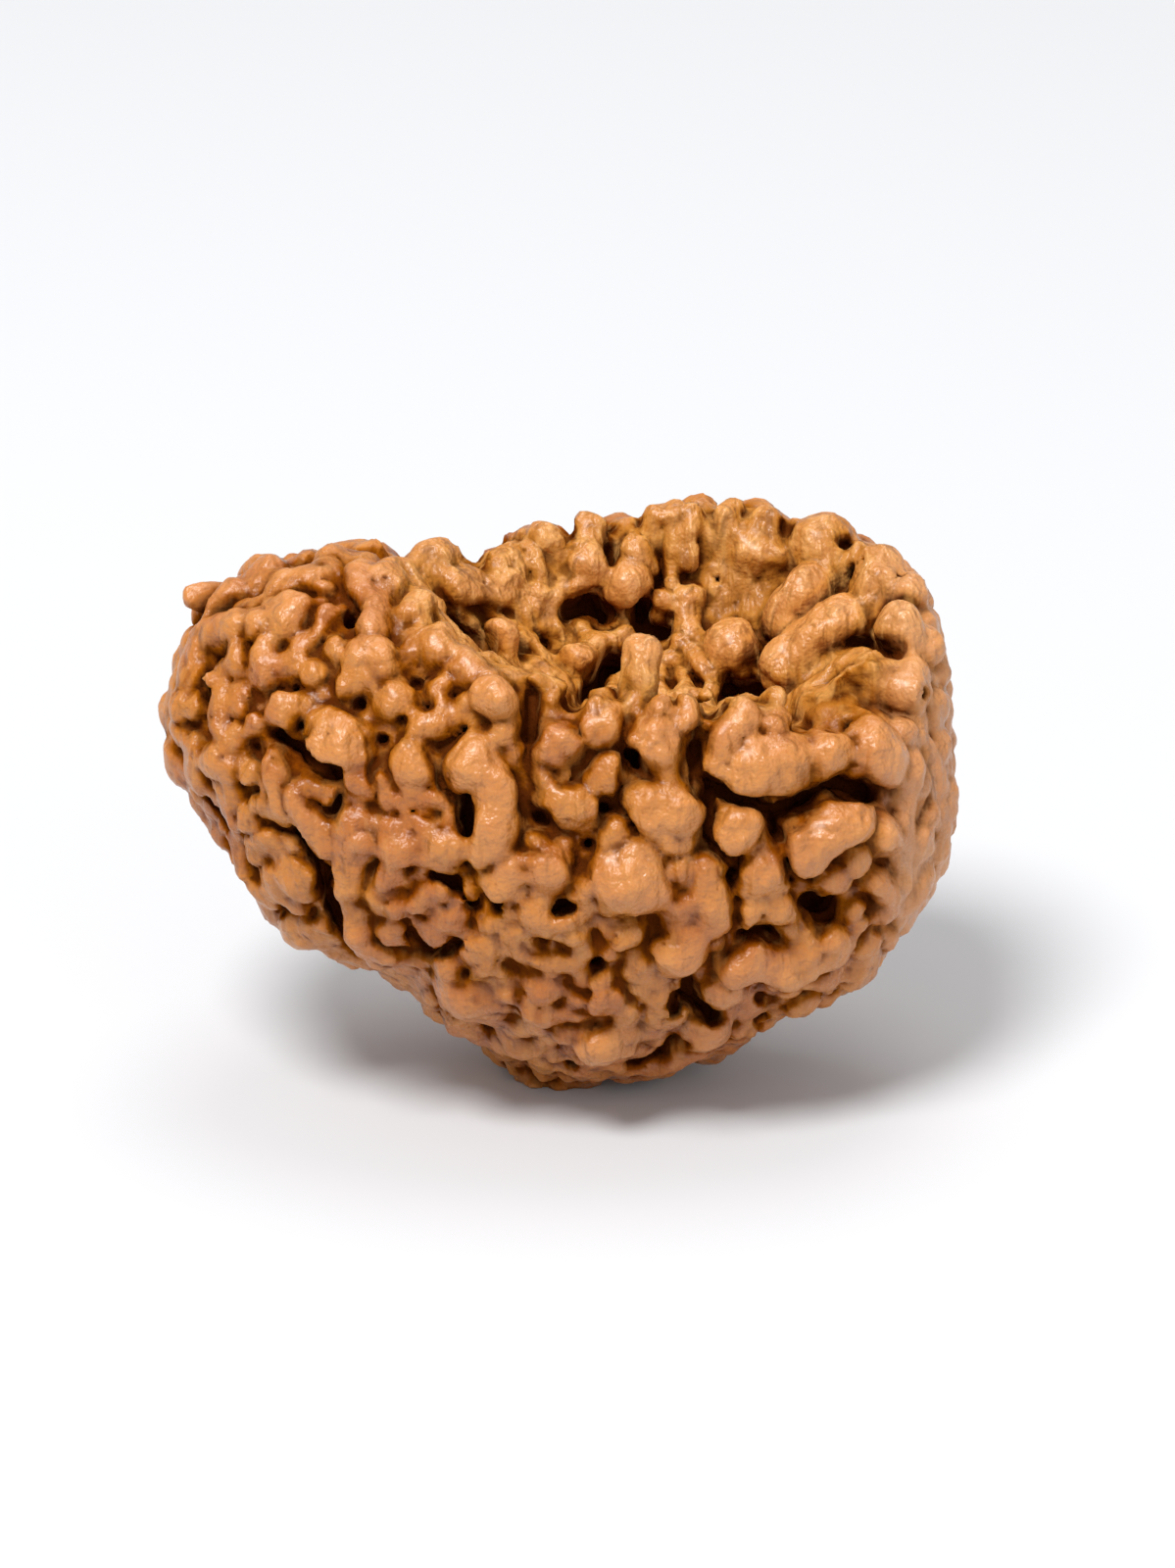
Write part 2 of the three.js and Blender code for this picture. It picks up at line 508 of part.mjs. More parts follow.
function seedStrokes() {
  const knobStrokes = [];
  const pitStrokes = [];
  bareStrokes.push(...valleyStrokes());
  for (const [right, up, radius, height] of KNOBS) {
    addRidge(knobStrokes, KNOB_WIDTH * radius, KNOB_LIFT * height, [facePlace([right, up])]);
  }
  for (const [radius, height, ...points] of RIDGES) {
    addRidge(knobStrokes, KNOB_WIDTH * radius, KNOB_LIFT * height, points.map(facePlace));
  }
  for (const [right, up, radius, depth] of PITS) {
    addPit(pitStrokes, radius, depth, facePlace([right, up]));
  }
  for (const [radius, depth, ...points] of SLITS) {
    addSlit(pitStrokes, radius, depth, points.map(facePlace));
  }
  for (const [radius, foot, tip] of FINGERS) {
    const start = raised(facePlace(foot), radius, FINGER_FOOT * radius);
    const rise = fromFace(tip[0] - foot[0], tip[1] - foot[1], 0).sub(FACE_MIDDLE);
    knobStrokes.push(rod(KNOB, start, start.clone().add(rise), radius));
  }
  const [hookFoot, hookTip] = HOOK.map((row) => fromFace(row[0], row[1], row[2]));
  knobStrokes.push(rod(KNOB, hookFoot, hookTip, HOOK[0][3], HOOK[1][3]));
  for (const [right, up, radius] of NOTCHES) {
    const [front, back] = [-NOTCH_REACH, NOTCH_REACH].map((away) => fromFace(right, up, away));
    pitStrokes.push(rod(PIT, front, back, radius));
  }
  addFill(knobStrokes, pitStrokes);
  const mound = FLAT_MIDDLE.clone().setZ(MOUND_HEIGHT);
  return [...bareStrokes, rod(KNOB, mound, mound, MOUND_RADIUS), ...knobStrokes, ...pitStrokes];
}

// The field's values at the points of a grid: below zero inside the seed, cut off at z = 0.
function gridValues() {
  const counts = GRID_HIGH.clone().sub(GRID_LOW).divideScalar(CELL).ceil();
  const steps = [counts.y * counts.z, counts.z, 1];
  const total = counts.x * steps[0];
  const values = new Float64Array(total);
  const crooked = new Array(total);
  const at = (i, j, k) => new THREE.Vector3(i, j, k).multiplyScalar(CELL).add(GRID_LOW);
  for (let i = 0, place = 0; i < counts.x; i++) {
    for (let j = 0; j < counts.y; j++) {
      for (let k = 0; k < counts.z; k++, place++) {
        const point = at(i, j, k);
        const body = bodyDistance(point) + GAP_DEPTH * (1 - CALM_GAPS * calmness(point));
        values[place] = smoothCut(body, hollowDistance(point), HOLLOW_BLEND);
        crooked[place] = wavered(point);
      }
    }
  }
  for (const stroke of seedStrokes()) {
    const reach = stroke.bound + MOST_WAVER;
    const low = stroke.middle.clone().subScalar(reach).sub(GRID_LOW).divideScalar(CELL).ceil();
    const high = stroke.middle.clone().addScalar(reach).sub(GRID_LOW).divideScalar(CELL).floor();
    low.clampScalar(0, Infinity);
    high.min(counts.clone().subScalar(1));
    for (let i = low.x; i <= high.x; i++) {
      for (let j = low.y; j <= high.y; j++) {
        for (let k = low.z; k <= high.z; k++) {
          const place = i * steps[0] + j * steps[1] + k;
          values[place] = merged(values[place], stroke, crooked[place]);
        }
      }
    }
  }
  const pointAt = (place) =>
    at(Math.floor(place / steps[0]), Math.floor((place % steps[0]) / steps[1]), place % steps[1]);
  for (let place = 0; place < total; place++) {
    values[place] = Math.max(values[place], -pointAt(place).z);
  }
  return { values, counts, steps, pointAt };
}

// A cell is six four-cornered blocks that share its long diagonal. Each is given as steps of
// the grid from the cell's first corner, in an order that turns the same way round.
const BLOCKS = [[0, 1, 2], [1, 2, 0], [2, 0, 1], [0, 2, 1], [2, 1, 0], [1, 0, 2]];

function blockCorners(first, steps, [a, b, c], isTurned) {
  const near = first + steps[a];
  const far = near + steps[b];
  const last = far + steps[c];
  return isTurned ? [first, far, near, last] : [first, near, far, last];
}

// The order with inside corners before outside ones that keeps the block turning the same way.
function insideFirst(corners, isInside) {
  const order = [0, 1, 2, 3].sort((p, q) => isInside[q] - isInside[p] || p - q);
  let crossings = 0;
  for (let p = 0; p < 4; p++) {
    for (let q = p + 1; q < 4; q++) {
      if (order[p] > order[q]) crossings++;
    }
  }
  if (crossings % 2) {
    const swapped = isInside[order[2]] === isInside[order[3]] ? 2 : 0;
    [order[swapped], order[swapped + 1]] = [order[swapped + 1], order[swapped]];
  }
  return order.map((corner) => corners[corner]);
}

function fineMesh() {
  const { values, counts, steps, pointAt } = gridValues();
  const points = [];
  const faces = [];
  const cornerOf = new Map();
  const cut = (inside, outside) => {
    const key = Math.min(inside, outside) * values.length + Math.max(inside, outside);
    if (!cornerOf.has(key)) {
      const share = values[inside] / (values[inside] - values[outside]);
      const kept = THREE.MathUtils.clamp(share, LEAST_CUT, 1 - LEAST_CUT);
      cornerOf.set(key, points.push(pointAt(inside).lerp(pointAt(outside), kept)) - 1);
    }
    return cornerOf.get(key);
  };
  const addBlock = (corners) => {
    const isInside = corners.map((corner) => (values[corner] < 0 ? 1 : 0));
    const inside = isInside[0] + isInside[1] + isInside[2] + isInside[3];
    if (inside === 0 || inside === 4) return;
    const [a, b, c, d] = insideFirst(corners, isInside);
    if (inside === 1) faces.push([cut(a, b), cut(a, c), cut(a, d)]);
    if (inside === 2) {
      faces.push([cut(a, c), cut(a, d), cut(b, d)]);
      faces.push([cut(a, c), cut(b, d), cut(b, c)]);
    }
    if (inside === 3) faces.push([cut(a, d), cut(b, d), cut(c, d)]);
  };
  for (let i = 0; i + 1 < counts.x; i++) {
    for (let j = 0; j + 1 < counts.y; j++) {
      for (let k = 0; k + 1 < counts.z; k++) {
        const first = i * steps[0] + j * steps[1] + k;
        BLOCKS.forEach((axes, turn) => addBlock(blockCorners(first, steps, axes, turn > 2)));
      }
    }
  }
  const body = largestBody(points, faces);
  EASING.forEach((share) => ease(points, body, share));
  return { points, faces: body };
}

// Evens out the steps that the grid leaves, but not the flat spot.
function ease(points, faces, share) {
  const totals = points.map(() => new THREE.Vector3());
  const counts = new Array(points.length).fill(0);
  for (const [a, b, c] of faces) {
    for (const [corner, next] of [[a, b], [b, c], [c, a]]) {
      totals[corner].add(points[next]);
      counts[corner]++;
    }
  }
  points.forEach((point, i) => {
    if (counts[i] && point.z > FLAT_SNAP) point.lerp(totals[i].divideScalar(counts[i]), share);
  });
}

// Leaves out any closed scrap that isn't joined to the rest.
function largestBody(points, faces) {
  const parent = points.map((_, i) => i);
  const root = (i) => {
    while (parent[i] !== i) {
      parent[i] = parent[parent[i]];
      i = parent[i];
    }
    return i;
  };
  for (const [a, b, c] of faces) {
    parent[root(a)] = root(b);
    parent[root(b)] = root(c);
  }
  const sizes = new Map();
  for (const [a] of faces) {
    sizes.set(root(a), (sizes.get(root(a)) ?? 0) + 1);
  }
  const largest = [...sizes.keys()].reduce((a, b) => (sizes.get(a) > sizes.get(b) ? a : b));
  return faces.filter(([a]) => root(a) === largest);
}

// A sum of squared distances to planes, as the ten numbers of a symmetric 4 x 4 matrix.
function planeQuadric(normal, offset, weight) {
  const { x, y, z } = normal;
  const terms = [x * x, x * y, x * z, x * offset, y * y, y * z, y * offset, z * z, z * offset];
  return [...terms, offset * offset].map((term) => term * weight);
}

function quadricValue(q, { x, y, z }) {
  return (
    q[0] * x * x + 2 * q[1] * x * y + 2 * q[2] * x * z + 2 * q[3] * x +
    q[4] * y * y + 2 * q[5] * y * z + 2 * q[6] * y + q[7] * z * z + 2 * q[8] * z + q[9]
  );
}

// The point with the least value, or null where the planes don't settle one.
function quadricBest(q) {
  const matrix = new THREE.Matrix3(q[0], q[1], q[2], q[1], q[4], q[5], q[2], q[5], q[7]);
  const size = (q[0] + q[4] + q[7]) / 3;
  if (matrix.determinant() < LEAST_SETTLED * size * size * size) return null;
  return new THREE.Vector3(-q[3], -q[6], -q[8]).applyMatrix3(matrix.invert());
}

// A queue that gives back the item with the lowest cost.
class CostQueue {
  items = [];

  push(item) {
    const { items } = this;
    let place = items.push(item) - 1;
    while (place > 0) {
      const above = (place - 1) >> 1;
      if (items[above].cost <= item.cost) break;
      items[place] = items[above];
      place = above;
    }
    items[place] = item;
  }

  pop() {
    const { items } = this;
    const lowest = items[0];
    const item = items.pop();
    if (!items.length) return lowest;
    let place = 0;
    while (2 * place + 1 < items.length) {
      let below = 2 * place + 1;
      if (below + 1 < items.length && items[below + 1].cost < items[below].cost) below++;
      if (items[below].cost >= item.cost) break;
      items[place] = items[below];
      place = below;
    }
    items[place] = item;
    return lowest;
  }
}

// Closes up edges, the least telling first, until the mesh has few enough faces.
function thinnedMesh({ points, faces }, wanted) {
  const facesOf = points.map(() => new Set());
  faces.forEach((face) => face.forEach((corner) => facesOf[corner].add(face)));
  const quadrics = points.map(() => new Array(10).fill(0));
  const triangle = new THREE.Triangle();
  const normal = new THREE.Vector3();
  for (const face of faces) {
    triangle.set(...face.map((corner) => points[corner]));
    triangle.getNormal(normal);
    const quadric = planeQuadric(normal, -normal.dot(triangle.a), triangle.getArea());
    for (const corner of face) {
      quadrics[corner] = quadrics[corner].map((v, k) => v + quadric[k]);
    }
  }

  const version = points.map(() => 0);
  const queue = new CostQueue();
  const pushEdge = (a, b) => {
    const quadric = quadrics[a].map((v, k) => v + quadrics[b][k]);
    const length = points[a].distanceTo(points[b]);
    const middle = points[a].clone().lerp(points[b], 0.5);
    const best = quadricBest(quadric);
    const choices = [points[a], points[b], middle];
    if (best && best.distanceTo(middle) < length) choices.push(best);
    const values = choices.map((choice) => quadricValue(quadric, choice));
    const least = Math.min(...values);
    const to = choices[values.indexOf(least)].clone();
    const cost = Math.max(least, 0) + EDGE_COST * length * length;
    queue.push({ cost, a, b, to, quadric, stamp: version[a] + version[b] });
  };
  const ringOf = (corner) => new Set([...facesOf[corner]].flat().filter((other) => other !== corner));
  points.forEach((_, a) => ringOf(a).forEach((b) => a < b && pushEdge(a, b)));

  const before = new THREE.Vector3();
  const turnsOver = (face, corner, to) => {
    triangle.set(...face.map((other) => points[other]));
    triangle.getNormal(before);
    triangle.set(...face.map((other) => (other === corner ? to : points[other])));
    triangle.getNormal(normal);
    return before.dot(normal) < MOST_TURN;
  };
  let left = faces.length;
  while (left > wanted && queue.items.length) {
    const { a, b, to, quadric, stamp } = queue.pop();
    if (!facesOf[a].size || !facesOf[b].size || stamp !== version[a] + version[b]) continue;
    const ringB = ringOf(b);
    if (!ringB.has(a) || [...ringOf(a)].filter((other) => ringB.has(other)).length !== 2) continue;
    const shared = [...facesOf[a]].filter((face) => facesOf[b].has(face));
    const keepsFacing = (corner) =>
      [...facesOf[corner]].every((face) => shared.includes(face) || !turnsOver(face, corner, to));
    if (!keepsFacing(a) || !keepsFacing(b)) continue;
    for (const face of shared) {
      face.forEach((corner) => facesOf[corner].delete(face));
      face.closed = true;
    }
    left -= shared.length;
    for (const face of facesOf[b]) {
      face[face.indexOf(b)] = a;
      facesOf[a].add(face);
    }
    facesOf[b] = new Set();
    points[a] = to;
    quadrics[a] = quadric;
    version[a]++;
    ringOf(a).forEach((other) => pushEdge(a, other));
  }
  return { points, faces: faces.filter((face) => !face.closed) };
}

function seedGeometry() {
  const { points, faces } = thinnedMesh(fineMesh(), TRIANGLES);
  const used = [...new Set(faces.flat())];
  const place = new Map(used.map((corner, i) => [corner, i]));
  for (const point of points) {
    if (point.z < FLAT_SNAP) point.z = 0;
  }
  const geometry = new THREE.BufferGeometry().setFromPoints(used.map((corner) => points[corner]));
  geometry.setIndex(faces.flat().map((corner) => place.get(corner)));
  geometry.computeBoundingBox();
  const middle = geometry.boundingBox.getCenter(new THREE.Vector3());
  geometry.translate(-middle.x, -middle.y, 0);
  geometry.computeVertexNormals();
  return geometry;
}

const seedMaterial = new THREE.MeshStandardMaterial({
  color: 0xa8703f,
  roughness: 0.5,
  metalness: 0,
});

const seed = new THREE.Mesh(seedGeometry(), seedMaterial);
seed.name = "seed";

const rudraksha = new THREE.Group();
rudraksha.add(seed);

export default rudraksha;
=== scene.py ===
import math
from itertools import product

import bpy
import numpy as np
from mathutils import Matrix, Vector, noise


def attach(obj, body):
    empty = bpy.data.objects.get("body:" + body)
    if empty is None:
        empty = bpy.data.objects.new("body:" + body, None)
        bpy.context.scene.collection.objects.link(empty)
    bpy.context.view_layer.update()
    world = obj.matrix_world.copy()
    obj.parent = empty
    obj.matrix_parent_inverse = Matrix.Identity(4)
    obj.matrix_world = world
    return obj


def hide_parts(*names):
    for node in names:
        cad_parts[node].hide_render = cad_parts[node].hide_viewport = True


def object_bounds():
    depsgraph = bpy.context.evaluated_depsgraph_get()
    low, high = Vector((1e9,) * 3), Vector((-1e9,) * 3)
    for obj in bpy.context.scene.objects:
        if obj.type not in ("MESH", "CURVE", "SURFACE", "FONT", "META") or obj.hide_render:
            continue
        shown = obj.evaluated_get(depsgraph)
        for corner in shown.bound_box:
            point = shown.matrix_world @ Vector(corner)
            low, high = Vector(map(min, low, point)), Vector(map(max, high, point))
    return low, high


# The finished look of a one-faced half-moon rudraksha seed. Its form is a field of values, below
# zero inside the seed: a body with a hollow, knobs and ridges joined to it, pits and slits cut
# from it. The field is worked out in millimetres and the mesh is made in metres.
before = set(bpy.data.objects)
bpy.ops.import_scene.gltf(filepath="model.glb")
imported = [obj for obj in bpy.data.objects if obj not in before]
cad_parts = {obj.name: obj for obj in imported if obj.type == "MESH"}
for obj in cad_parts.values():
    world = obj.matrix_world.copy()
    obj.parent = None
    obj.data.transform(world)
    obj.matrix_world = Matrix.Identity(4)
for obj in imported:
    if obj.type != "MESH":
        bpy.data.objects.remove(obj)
cad_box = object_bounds()

MM = 0.001
TINY = 1e-6

# Driving sizes of the body. "right" and "up" run across a face plane that leans back from
# upright by FACE_LEAN, and "away" goes through it.
FACE_LEAN = math.radians(25)
HALF_THICKNESS = 5.6
FULLNESS = 2.35  # power of the body's cross-section
BACK_BOW = 0.025  # how far the outline bows away at its top and foot, per mm squared
UPRIGHT_LEAN = 0.1  # how far the outline comes forward, per mm up the face plane
FACE_MIDDLE = np.array([0, 0, 9.5])
OUTLINE_BLEND = 75  # the outline's points weigh more sharply by nearness when this is larger
OUTLINE_STEPS = 1440

# Outline of the body between its knobs, [right, up], clockwise from the blunt left end.
OUTLINE = [
    [-11.8, 1.8], [-10.9, 3.3], [-10.5, 5.0], [-10.1, 6.1], [-8.6, 6.6], [-7.4, 6.7],
    [-6.0, 6.9], [-4.4, 6.6], [-2.6, 6.8], [-1.5, 7.7], [0.4, 7.7], [2.1, 8.1],
    [4.4, 8.7], [6.7, 8.0], [8.6, 7.4], [10.3, 7.0], [11.2, 6.0], [11.3, 4.4],
    [11.4, 2.2], [11.75, 0], [11.5, -2.0], [10.9, -3.8], [9.4, -5.0], [8.1, -6.3],
    [6.1, -6.8], [4.8, -7.8], [3.2, -8.4], [1.2, -8.6], [-0.8, -8.1], [-2.8, -7.2],
    [-4.4, -5.7], [-5.6, -4.8], [-7.3, -5.0], [-8.1, -3.5], [-9.3, -2.5], [-9.6, -1.1],
    [-10.5, 0.4],
]

# The hollow of the upper side, and the shallow valley in front of its right.
HOLLOW_MIDDLE = np.array([3.4, 0.1, 17])
HOLLOW_HALF = np.array([7.4, 4.3, 4.7])
HOLLOW_BLEND = 1.2
VALLEY_RADIUS = 0.8
VALLEY_DEPTH = 1.0
VALLEY_POINTS = [[5.6, 2.8], [7.6, 2.4], [9.6, 2.7]]
GAP_DEPTH = 0.12  # how far the ground between the knobs lies below the body
CALM_HEIGHTS = (9.5, 5.0)  # below these the belly grows calm, with low knobs and no gaps
CALM_RIGHTS = (9.6, 11.0)  # and so does the right flank
CALM_RIM = (2.4, 0.8)  # and the hollow's rim, this near to the hollow's space
CALM_RIM_SHARE = 0.8
CALM_KNOBS = 0.5  # how much lower the calm knobs are
CALM_GAPS = 0.6  # and how much shallower the gaps between them

# Notches across the rim, [right, up, radius].
NOTCHES = [
    [-4.65, 7.4, 0.35], [-2.5, 7.2, 0.28], [0.35, 8.1, 0.22], [-5.6, -5.9, 0.45],
]
NOTCH_REACH = 6  # how far they run through the seed to each side of the face plane

# The hook at the left end's upper corner, [right, up, away, radius] at its foot and tip.
HOOK = [[-9.3, 5.95, -0.4, 0.62], [-10.8, 5.75, -0.9, 0.36]]

# Knobs on the face, [right, up, radius, height above the body].
KNOBS = [
    [-10.6, 5.2, 0.44, 0.4], [-8.9, 6.4, 0.75, 0.6], [-9.5, 5.7, 0.4, 0.4], [-8.5, 4.9, 0.58, 0.5],
    [-7.75, 5.15, 0.6, 0.65], [-7.0, 5.95, 0.35, 0.3], [-6.85, 7.05, 0.5, 0.6],
    [-6.0, 6.8, 0.65, 0.45], [-5.1, 6.1, 0.53, 0.5], [-6.45, 4.2, 0.35, 0.35],
    [-7.15, 3.45, 0.36, 0.3], [-5.35, 3.75, 0.78, 0.6], [-3.75, 6.85, 0.72, 0.65],
    [-4.1, 5.25, 0.5, 0.45], [-3.6, 4.25, 0.6, 0.4], [-1.85, 6.8, 0.45, 0.5],
    [-0.4, 7.5, 0.45, 0.55], [0.8, 6.8, 0.65, 0.7], [0.95, 7.9, 0.45, 0.6],
    [0.8, 6.25, 0.5, 0.7], [2.05, 6.25, 0.65, 0.9], [2.4, 7.2, 0.45, 0.6],
    [0.65, 3.7, 0.55, 0.7], [5.95, 7.2, 1.0, 0.5], [5.2, 8.3, 0.35, 0.5],
    [6.45, 8.2, 0.42, 0.5], [7.95, 7.5, 0.8, 0.5], [9.05, 7.2, 0.45, 0.35],
    [9.75, 6.9, 0.6, 0.55], [9.6, 6.2, 0.6, 0.6], [9.45, 5.5, 0.65, 0.6],
    [10.5, 5.95, 0.53, 0.5], [10.2, 4.9, 0.6, 0.6], [11.05, 4.3, 0.45, 0.4],
    [8.0, 4.1, 0.45, 0.6], [6.7, 3.45, 0.35, 0.5], [3.3, 5.65, 0.36, 0.5],
    [4.05, 5.8, 0.36, 0.55], [5.35, 4.1, 0.66, 1.1], [3.6, 3.9, 0.3, 0.4],
    [-11.6, 1.7, 0.42, 0.4], [-9.8, 0.95, 0.66, 0.55], [-8.9, 0.6, 0.4, 0.35],
    [-8.9, -0.75, 0.45, 0.4], [-8.3, -1.45, 0.45, 0.4], [-7.7, -2.6, 0.66, 0.55],
    [-7.5, -4.1, 0.9, 0.5], [-5.9, -1.2, 0.75, 0.55], [-1.75, 2.5, 0.58, 1.2],
    [-4.05, 0.8, 0.66, 0.6], [-4.2, 0.05, 0.36, 0.35], [-3.6, -0.15, 0.36, 0.35],
    [-4.65, 2.7, 0.58, 0.45], [0.1, 1.3, 0.66, 0.6], [1.4, 1.95, 0.58, 0.6],
    [1.45, 0.5, 0.53, 0.5], [-1.4, -2.4, 0.72, 0.65], [-0.25, -2.3, 0.72, 0.65],
    [3.05, 1.4, 0.75, 0.8], [3.45, -1.4, 0.55, 0.5], [2.2, -2.5, 1.25, 0.95],
    [7.95, 1.05, 0.62, 0.75], [5.25, -1.05, 0.62, 0.75], [9.3, 1.15, 0.9, 0.85],
    [10.4, 0.5, 0.6, 0.4], [9.55, -1.35, 0.65, 0.55], [11.1, -0.7, 0.3, 0.3],
    [-3.35, -2.9, 0.38, 0.35], [-3.1, -3.7, 0.58, 0.45], [-3.5, -4.3, 0.5, 0.35],
    [-1.25, -4.2, 0.45, 0.35], [0.5, -4.1, 0.5, 0.4], [-2.5, -6.1, 1.3, 0.35],
    [3.6, -4.5, 0.88, 0.65], [-0.5, -5.8, 1.1, 0.35], [1.5, -6.15, 0.5, 0.4],
    [1.55, -7.3, 0.9, 0.6], [4.45, -7.1, 0.75, 0.6], [5.5, -7.0, 0.45, 0.45],
    [6.1, -2.3, 0.72, 0.6], [4.95, -5.85, 0.68, 0.55], [7.3, -6.3, 0.5, 0.4],
    [9.1, -4.6, 0.55, 0.35], [-5.0, -3.2, 0.8, 0.45], [-4.9, -4.7, 0.55, 0.4],
    [2.2, -4.0, 0.55, 0.4], [0.3, -7.2, 0.55, 0.35], [8.0, -2.6, 0.6, 0.45],
]

# Ridges on the face, [radius, height above the body, ...points right and up].
RIDGES = [
    [0.33, 0.55, [-10.9, 5.9], [-10.1, 6.15]],
    [0.52, 0.5, [-9.35, 4.75], [-10.4, 4.4], [-10.9, 3.45], [-11.05, 2.55]],
    [0.4, 0.4, [-9.95, 3.5], [-9.9, 1.95]],
    [0.45, 0.5, [-5.75, 6.3], [-5.45, 4.7]],
    [0.5, 0.6, [-3.2, 6.1], [-1.7, 5.9]],
    [0.3, 0.3, [-1.4, 7.1], [-1.0, 5.0]],
    [0.3, 0.3, [-0.75, 7.2], [-0.55, 4.9]],
    [0.3, 0.3, [0.0, 7.1], [-0.15, 4.9]],
    [0.3, 0.4, [0.95, 4.2], [2.1, 4.6]],
    [0.3, 0.45, [3.0, 8.2], [2.9, 6.8]],
    [0.3, 0.45, [3.6, 8.3], [3.45, 6.3]],
    [0.3, 0.45, [4.1, 8.2], [3.9, 6.9]],
    [0.6, 0.9, [7.85, 6.1], [6.95, 5.15]],
    [0.62, 0.95, [8.9, 4.9], [6.95, 3.5]],
    [0.3, 0.45, [3.9, 5.5], [4.3, 4.3]],
    [0.36, 0.5, [3.9, 4.2], [4.5, 3.45]],
    [0.37, 0.35, [-8.2, 0.8], [-7.9, -0.7]],
    [0.42, 0.45, [-7.45, -0.15], [-6.9, -1.5]],
    [0.35, 0.3, [-7.1, 0.15], [-6.6, 0.05]],
    [0.74, 0.65, [-6.85, 1.5], [-6.0, 1.25]],
    [0.42, 0.4, [-9.65, 0.2], [-9.35, -1.25], [-9.0, -2.3], [-8.4, -3.2]],
    [0.4, 0.45, [-6.1, -1.6], [-5.95, -2.75], [-5.75, -4.0], [-5.2, -4.9]],
    [0.45, 0.5, [-1.75, 3.0], [-1.4, 1.7]],
    [0.42, 0.45, [-3.75, 1.9], [-2.55, 2.4]],
    [0.54, 0.75, [-2.65, 0.65], [-2.3, 1.15], [-1.85, 0.35], [-1.75, -0.55], [-1.9, -1.55]],
    [0.68, 0.5, [-4.65, -1.4], [-3.1, -1.6]],
    [0.6, 0.5, [0.0, -0.45], [0.55, -0.45]],
    [0.68, 0.75, [2.75, -0.5], [3.5, -0.55]],
    [0.42, 0.65, [5.4, 2.25], [4.95, 1.5], [4.55, 0.75]],
    [0.72, 0.9, [5.6, 0.7], [6.65, 0.75]],
    [0.7, 0.75, [8.5, -0.85], [7.3, -1.6]],
    [0.53, 0.5, [4.55, -2.3], [4.55, -3.75]],
    [0.48, 0.45, [5.8, -3.4], [6.55, -3.4]],
    [0.65, 0.6, [5.5, -4.95], [6.8, -5.15], [8.1, -4.6]],
    [0.35, 0.25, [10.3, -0.3], [10.2, -2.6], [9.6, -3.6]],
]

# Fingers that stand up from the hollow's near rim, [radius, foot's right and up, tip's].
FINGERS = [
    [0.52, [-1.4, 3.7], [-1.55, 4.9]],
    [0.56, [2.4, 2.5], [2.55, 4.2]],
]

# Pits on the face, [right, up, mouth radius, depth below the body].
PITS = [
    [-6.05, 5.0, 0.32, 1.3], [-5.7, 2.55, 0.25, 0.8], [-0.35, 4.4, 0.2, 0.9],
    [4.85, 6.4, 0.25, 0.4], [-8.9, 1.3, 0.2, 0.6],
    [-5.1, 1.5, 0.22, 0.9], [-0.5, -0.8, 0.32, 1.2], [0.85, -1.55, 0.25, 1.3],
    [1.4, -0.5, 0.24, 1.1], [2.4, 0.7, 0.36, 1.2], [1.1, -5.1, 0.25, 1.0],
    [-2.0, -7.15, 0.3, 1.0], [6.1, -6.15, 0.2, 0.8], [-2.6, 6.7, 0.2, 0.9],
    [0.5, -8.2, 0.25, 0.9],
]

# Slits and crevices on the face, [radius, depth below the body, ...points right and up].
SLITS = [
    [0.58, 2.4, [-3.0, 5.05], [-2.3, 4.3]],
    [0.36, 1.4, [0.4, 5.45], [0.95, 5.65], [1.4, 5.3]],
    [0.28, 1.3, [2.55, 5.6], [2.5, 4.95], [3.3, 4.8]],
    [0.34, 1.6, [1.8, 3.95], [1.1, 3.2], [0.5, 2.6]],
    [0.26, 1.2, [4.4, 2.3], [5.2, 3.15], [5.9, 3.1], [6.5, 2.4]],
    [0.22, 1.0, [9.0, 4.45], [9.6, 4.3], [10.3, 4.1]],
    [0.2, 1.0, [-10.0, 3.8], [-10.25, 2.95]],
    [0.3, 1.3, [-8.2, 1.7], [-7.2, 1.0], [-6.4, 0.6]],
    [0.2, 1.6, [-7.5, -1.1], [-7.2, -1.85], [-6.85, -2.5], [-6.75, -3.4]],
    [0.27, 1.6, [-6.75, -3.3], [-6.4, -4.1], [-5.9, -4.9]],
    [0.18, 0.8, [-0.75, 2.9], [-0.7, 1.6]],
    [0.22, 1.3, [-2.55, 0.1], [-2.65, -0.7], [-2.4, -1.8]],
    [0.2, 1.1, [2.15, 3.0], [2.1, 1.0]],
    [0.26, 1.5, [4.4, 0.3], [5.2, -0.1], [6.3, -0.6], [7.3, -0.2], [8.2, 0.25], [9.3, -0.1]],
    [0.2, 1.2, [4.5, 0.0], [4.5, -1.2], [5.2, -1.75]],
    [0.2, 1.1, [6.2, -0.7], [6.5, -1.3]],
    [0.2, 1.0, [6.8, -1.95], [7.4, -2.4]],
    [0.42, 2.0, [7.45, -3.3], [7.9, -3.75], [8.2, -3.4]],
    [0.24, 1.0, [5.5, -4.25], [6.3, -4.15]],
    [0.28, 1.2, [3.9, -5.7], [4.0, -6.2], [4.6, -6.7]],
    [0.24, 1.0, [3.6, -7.4], [3.1, -7.95], [2.4, -8.2]],
]

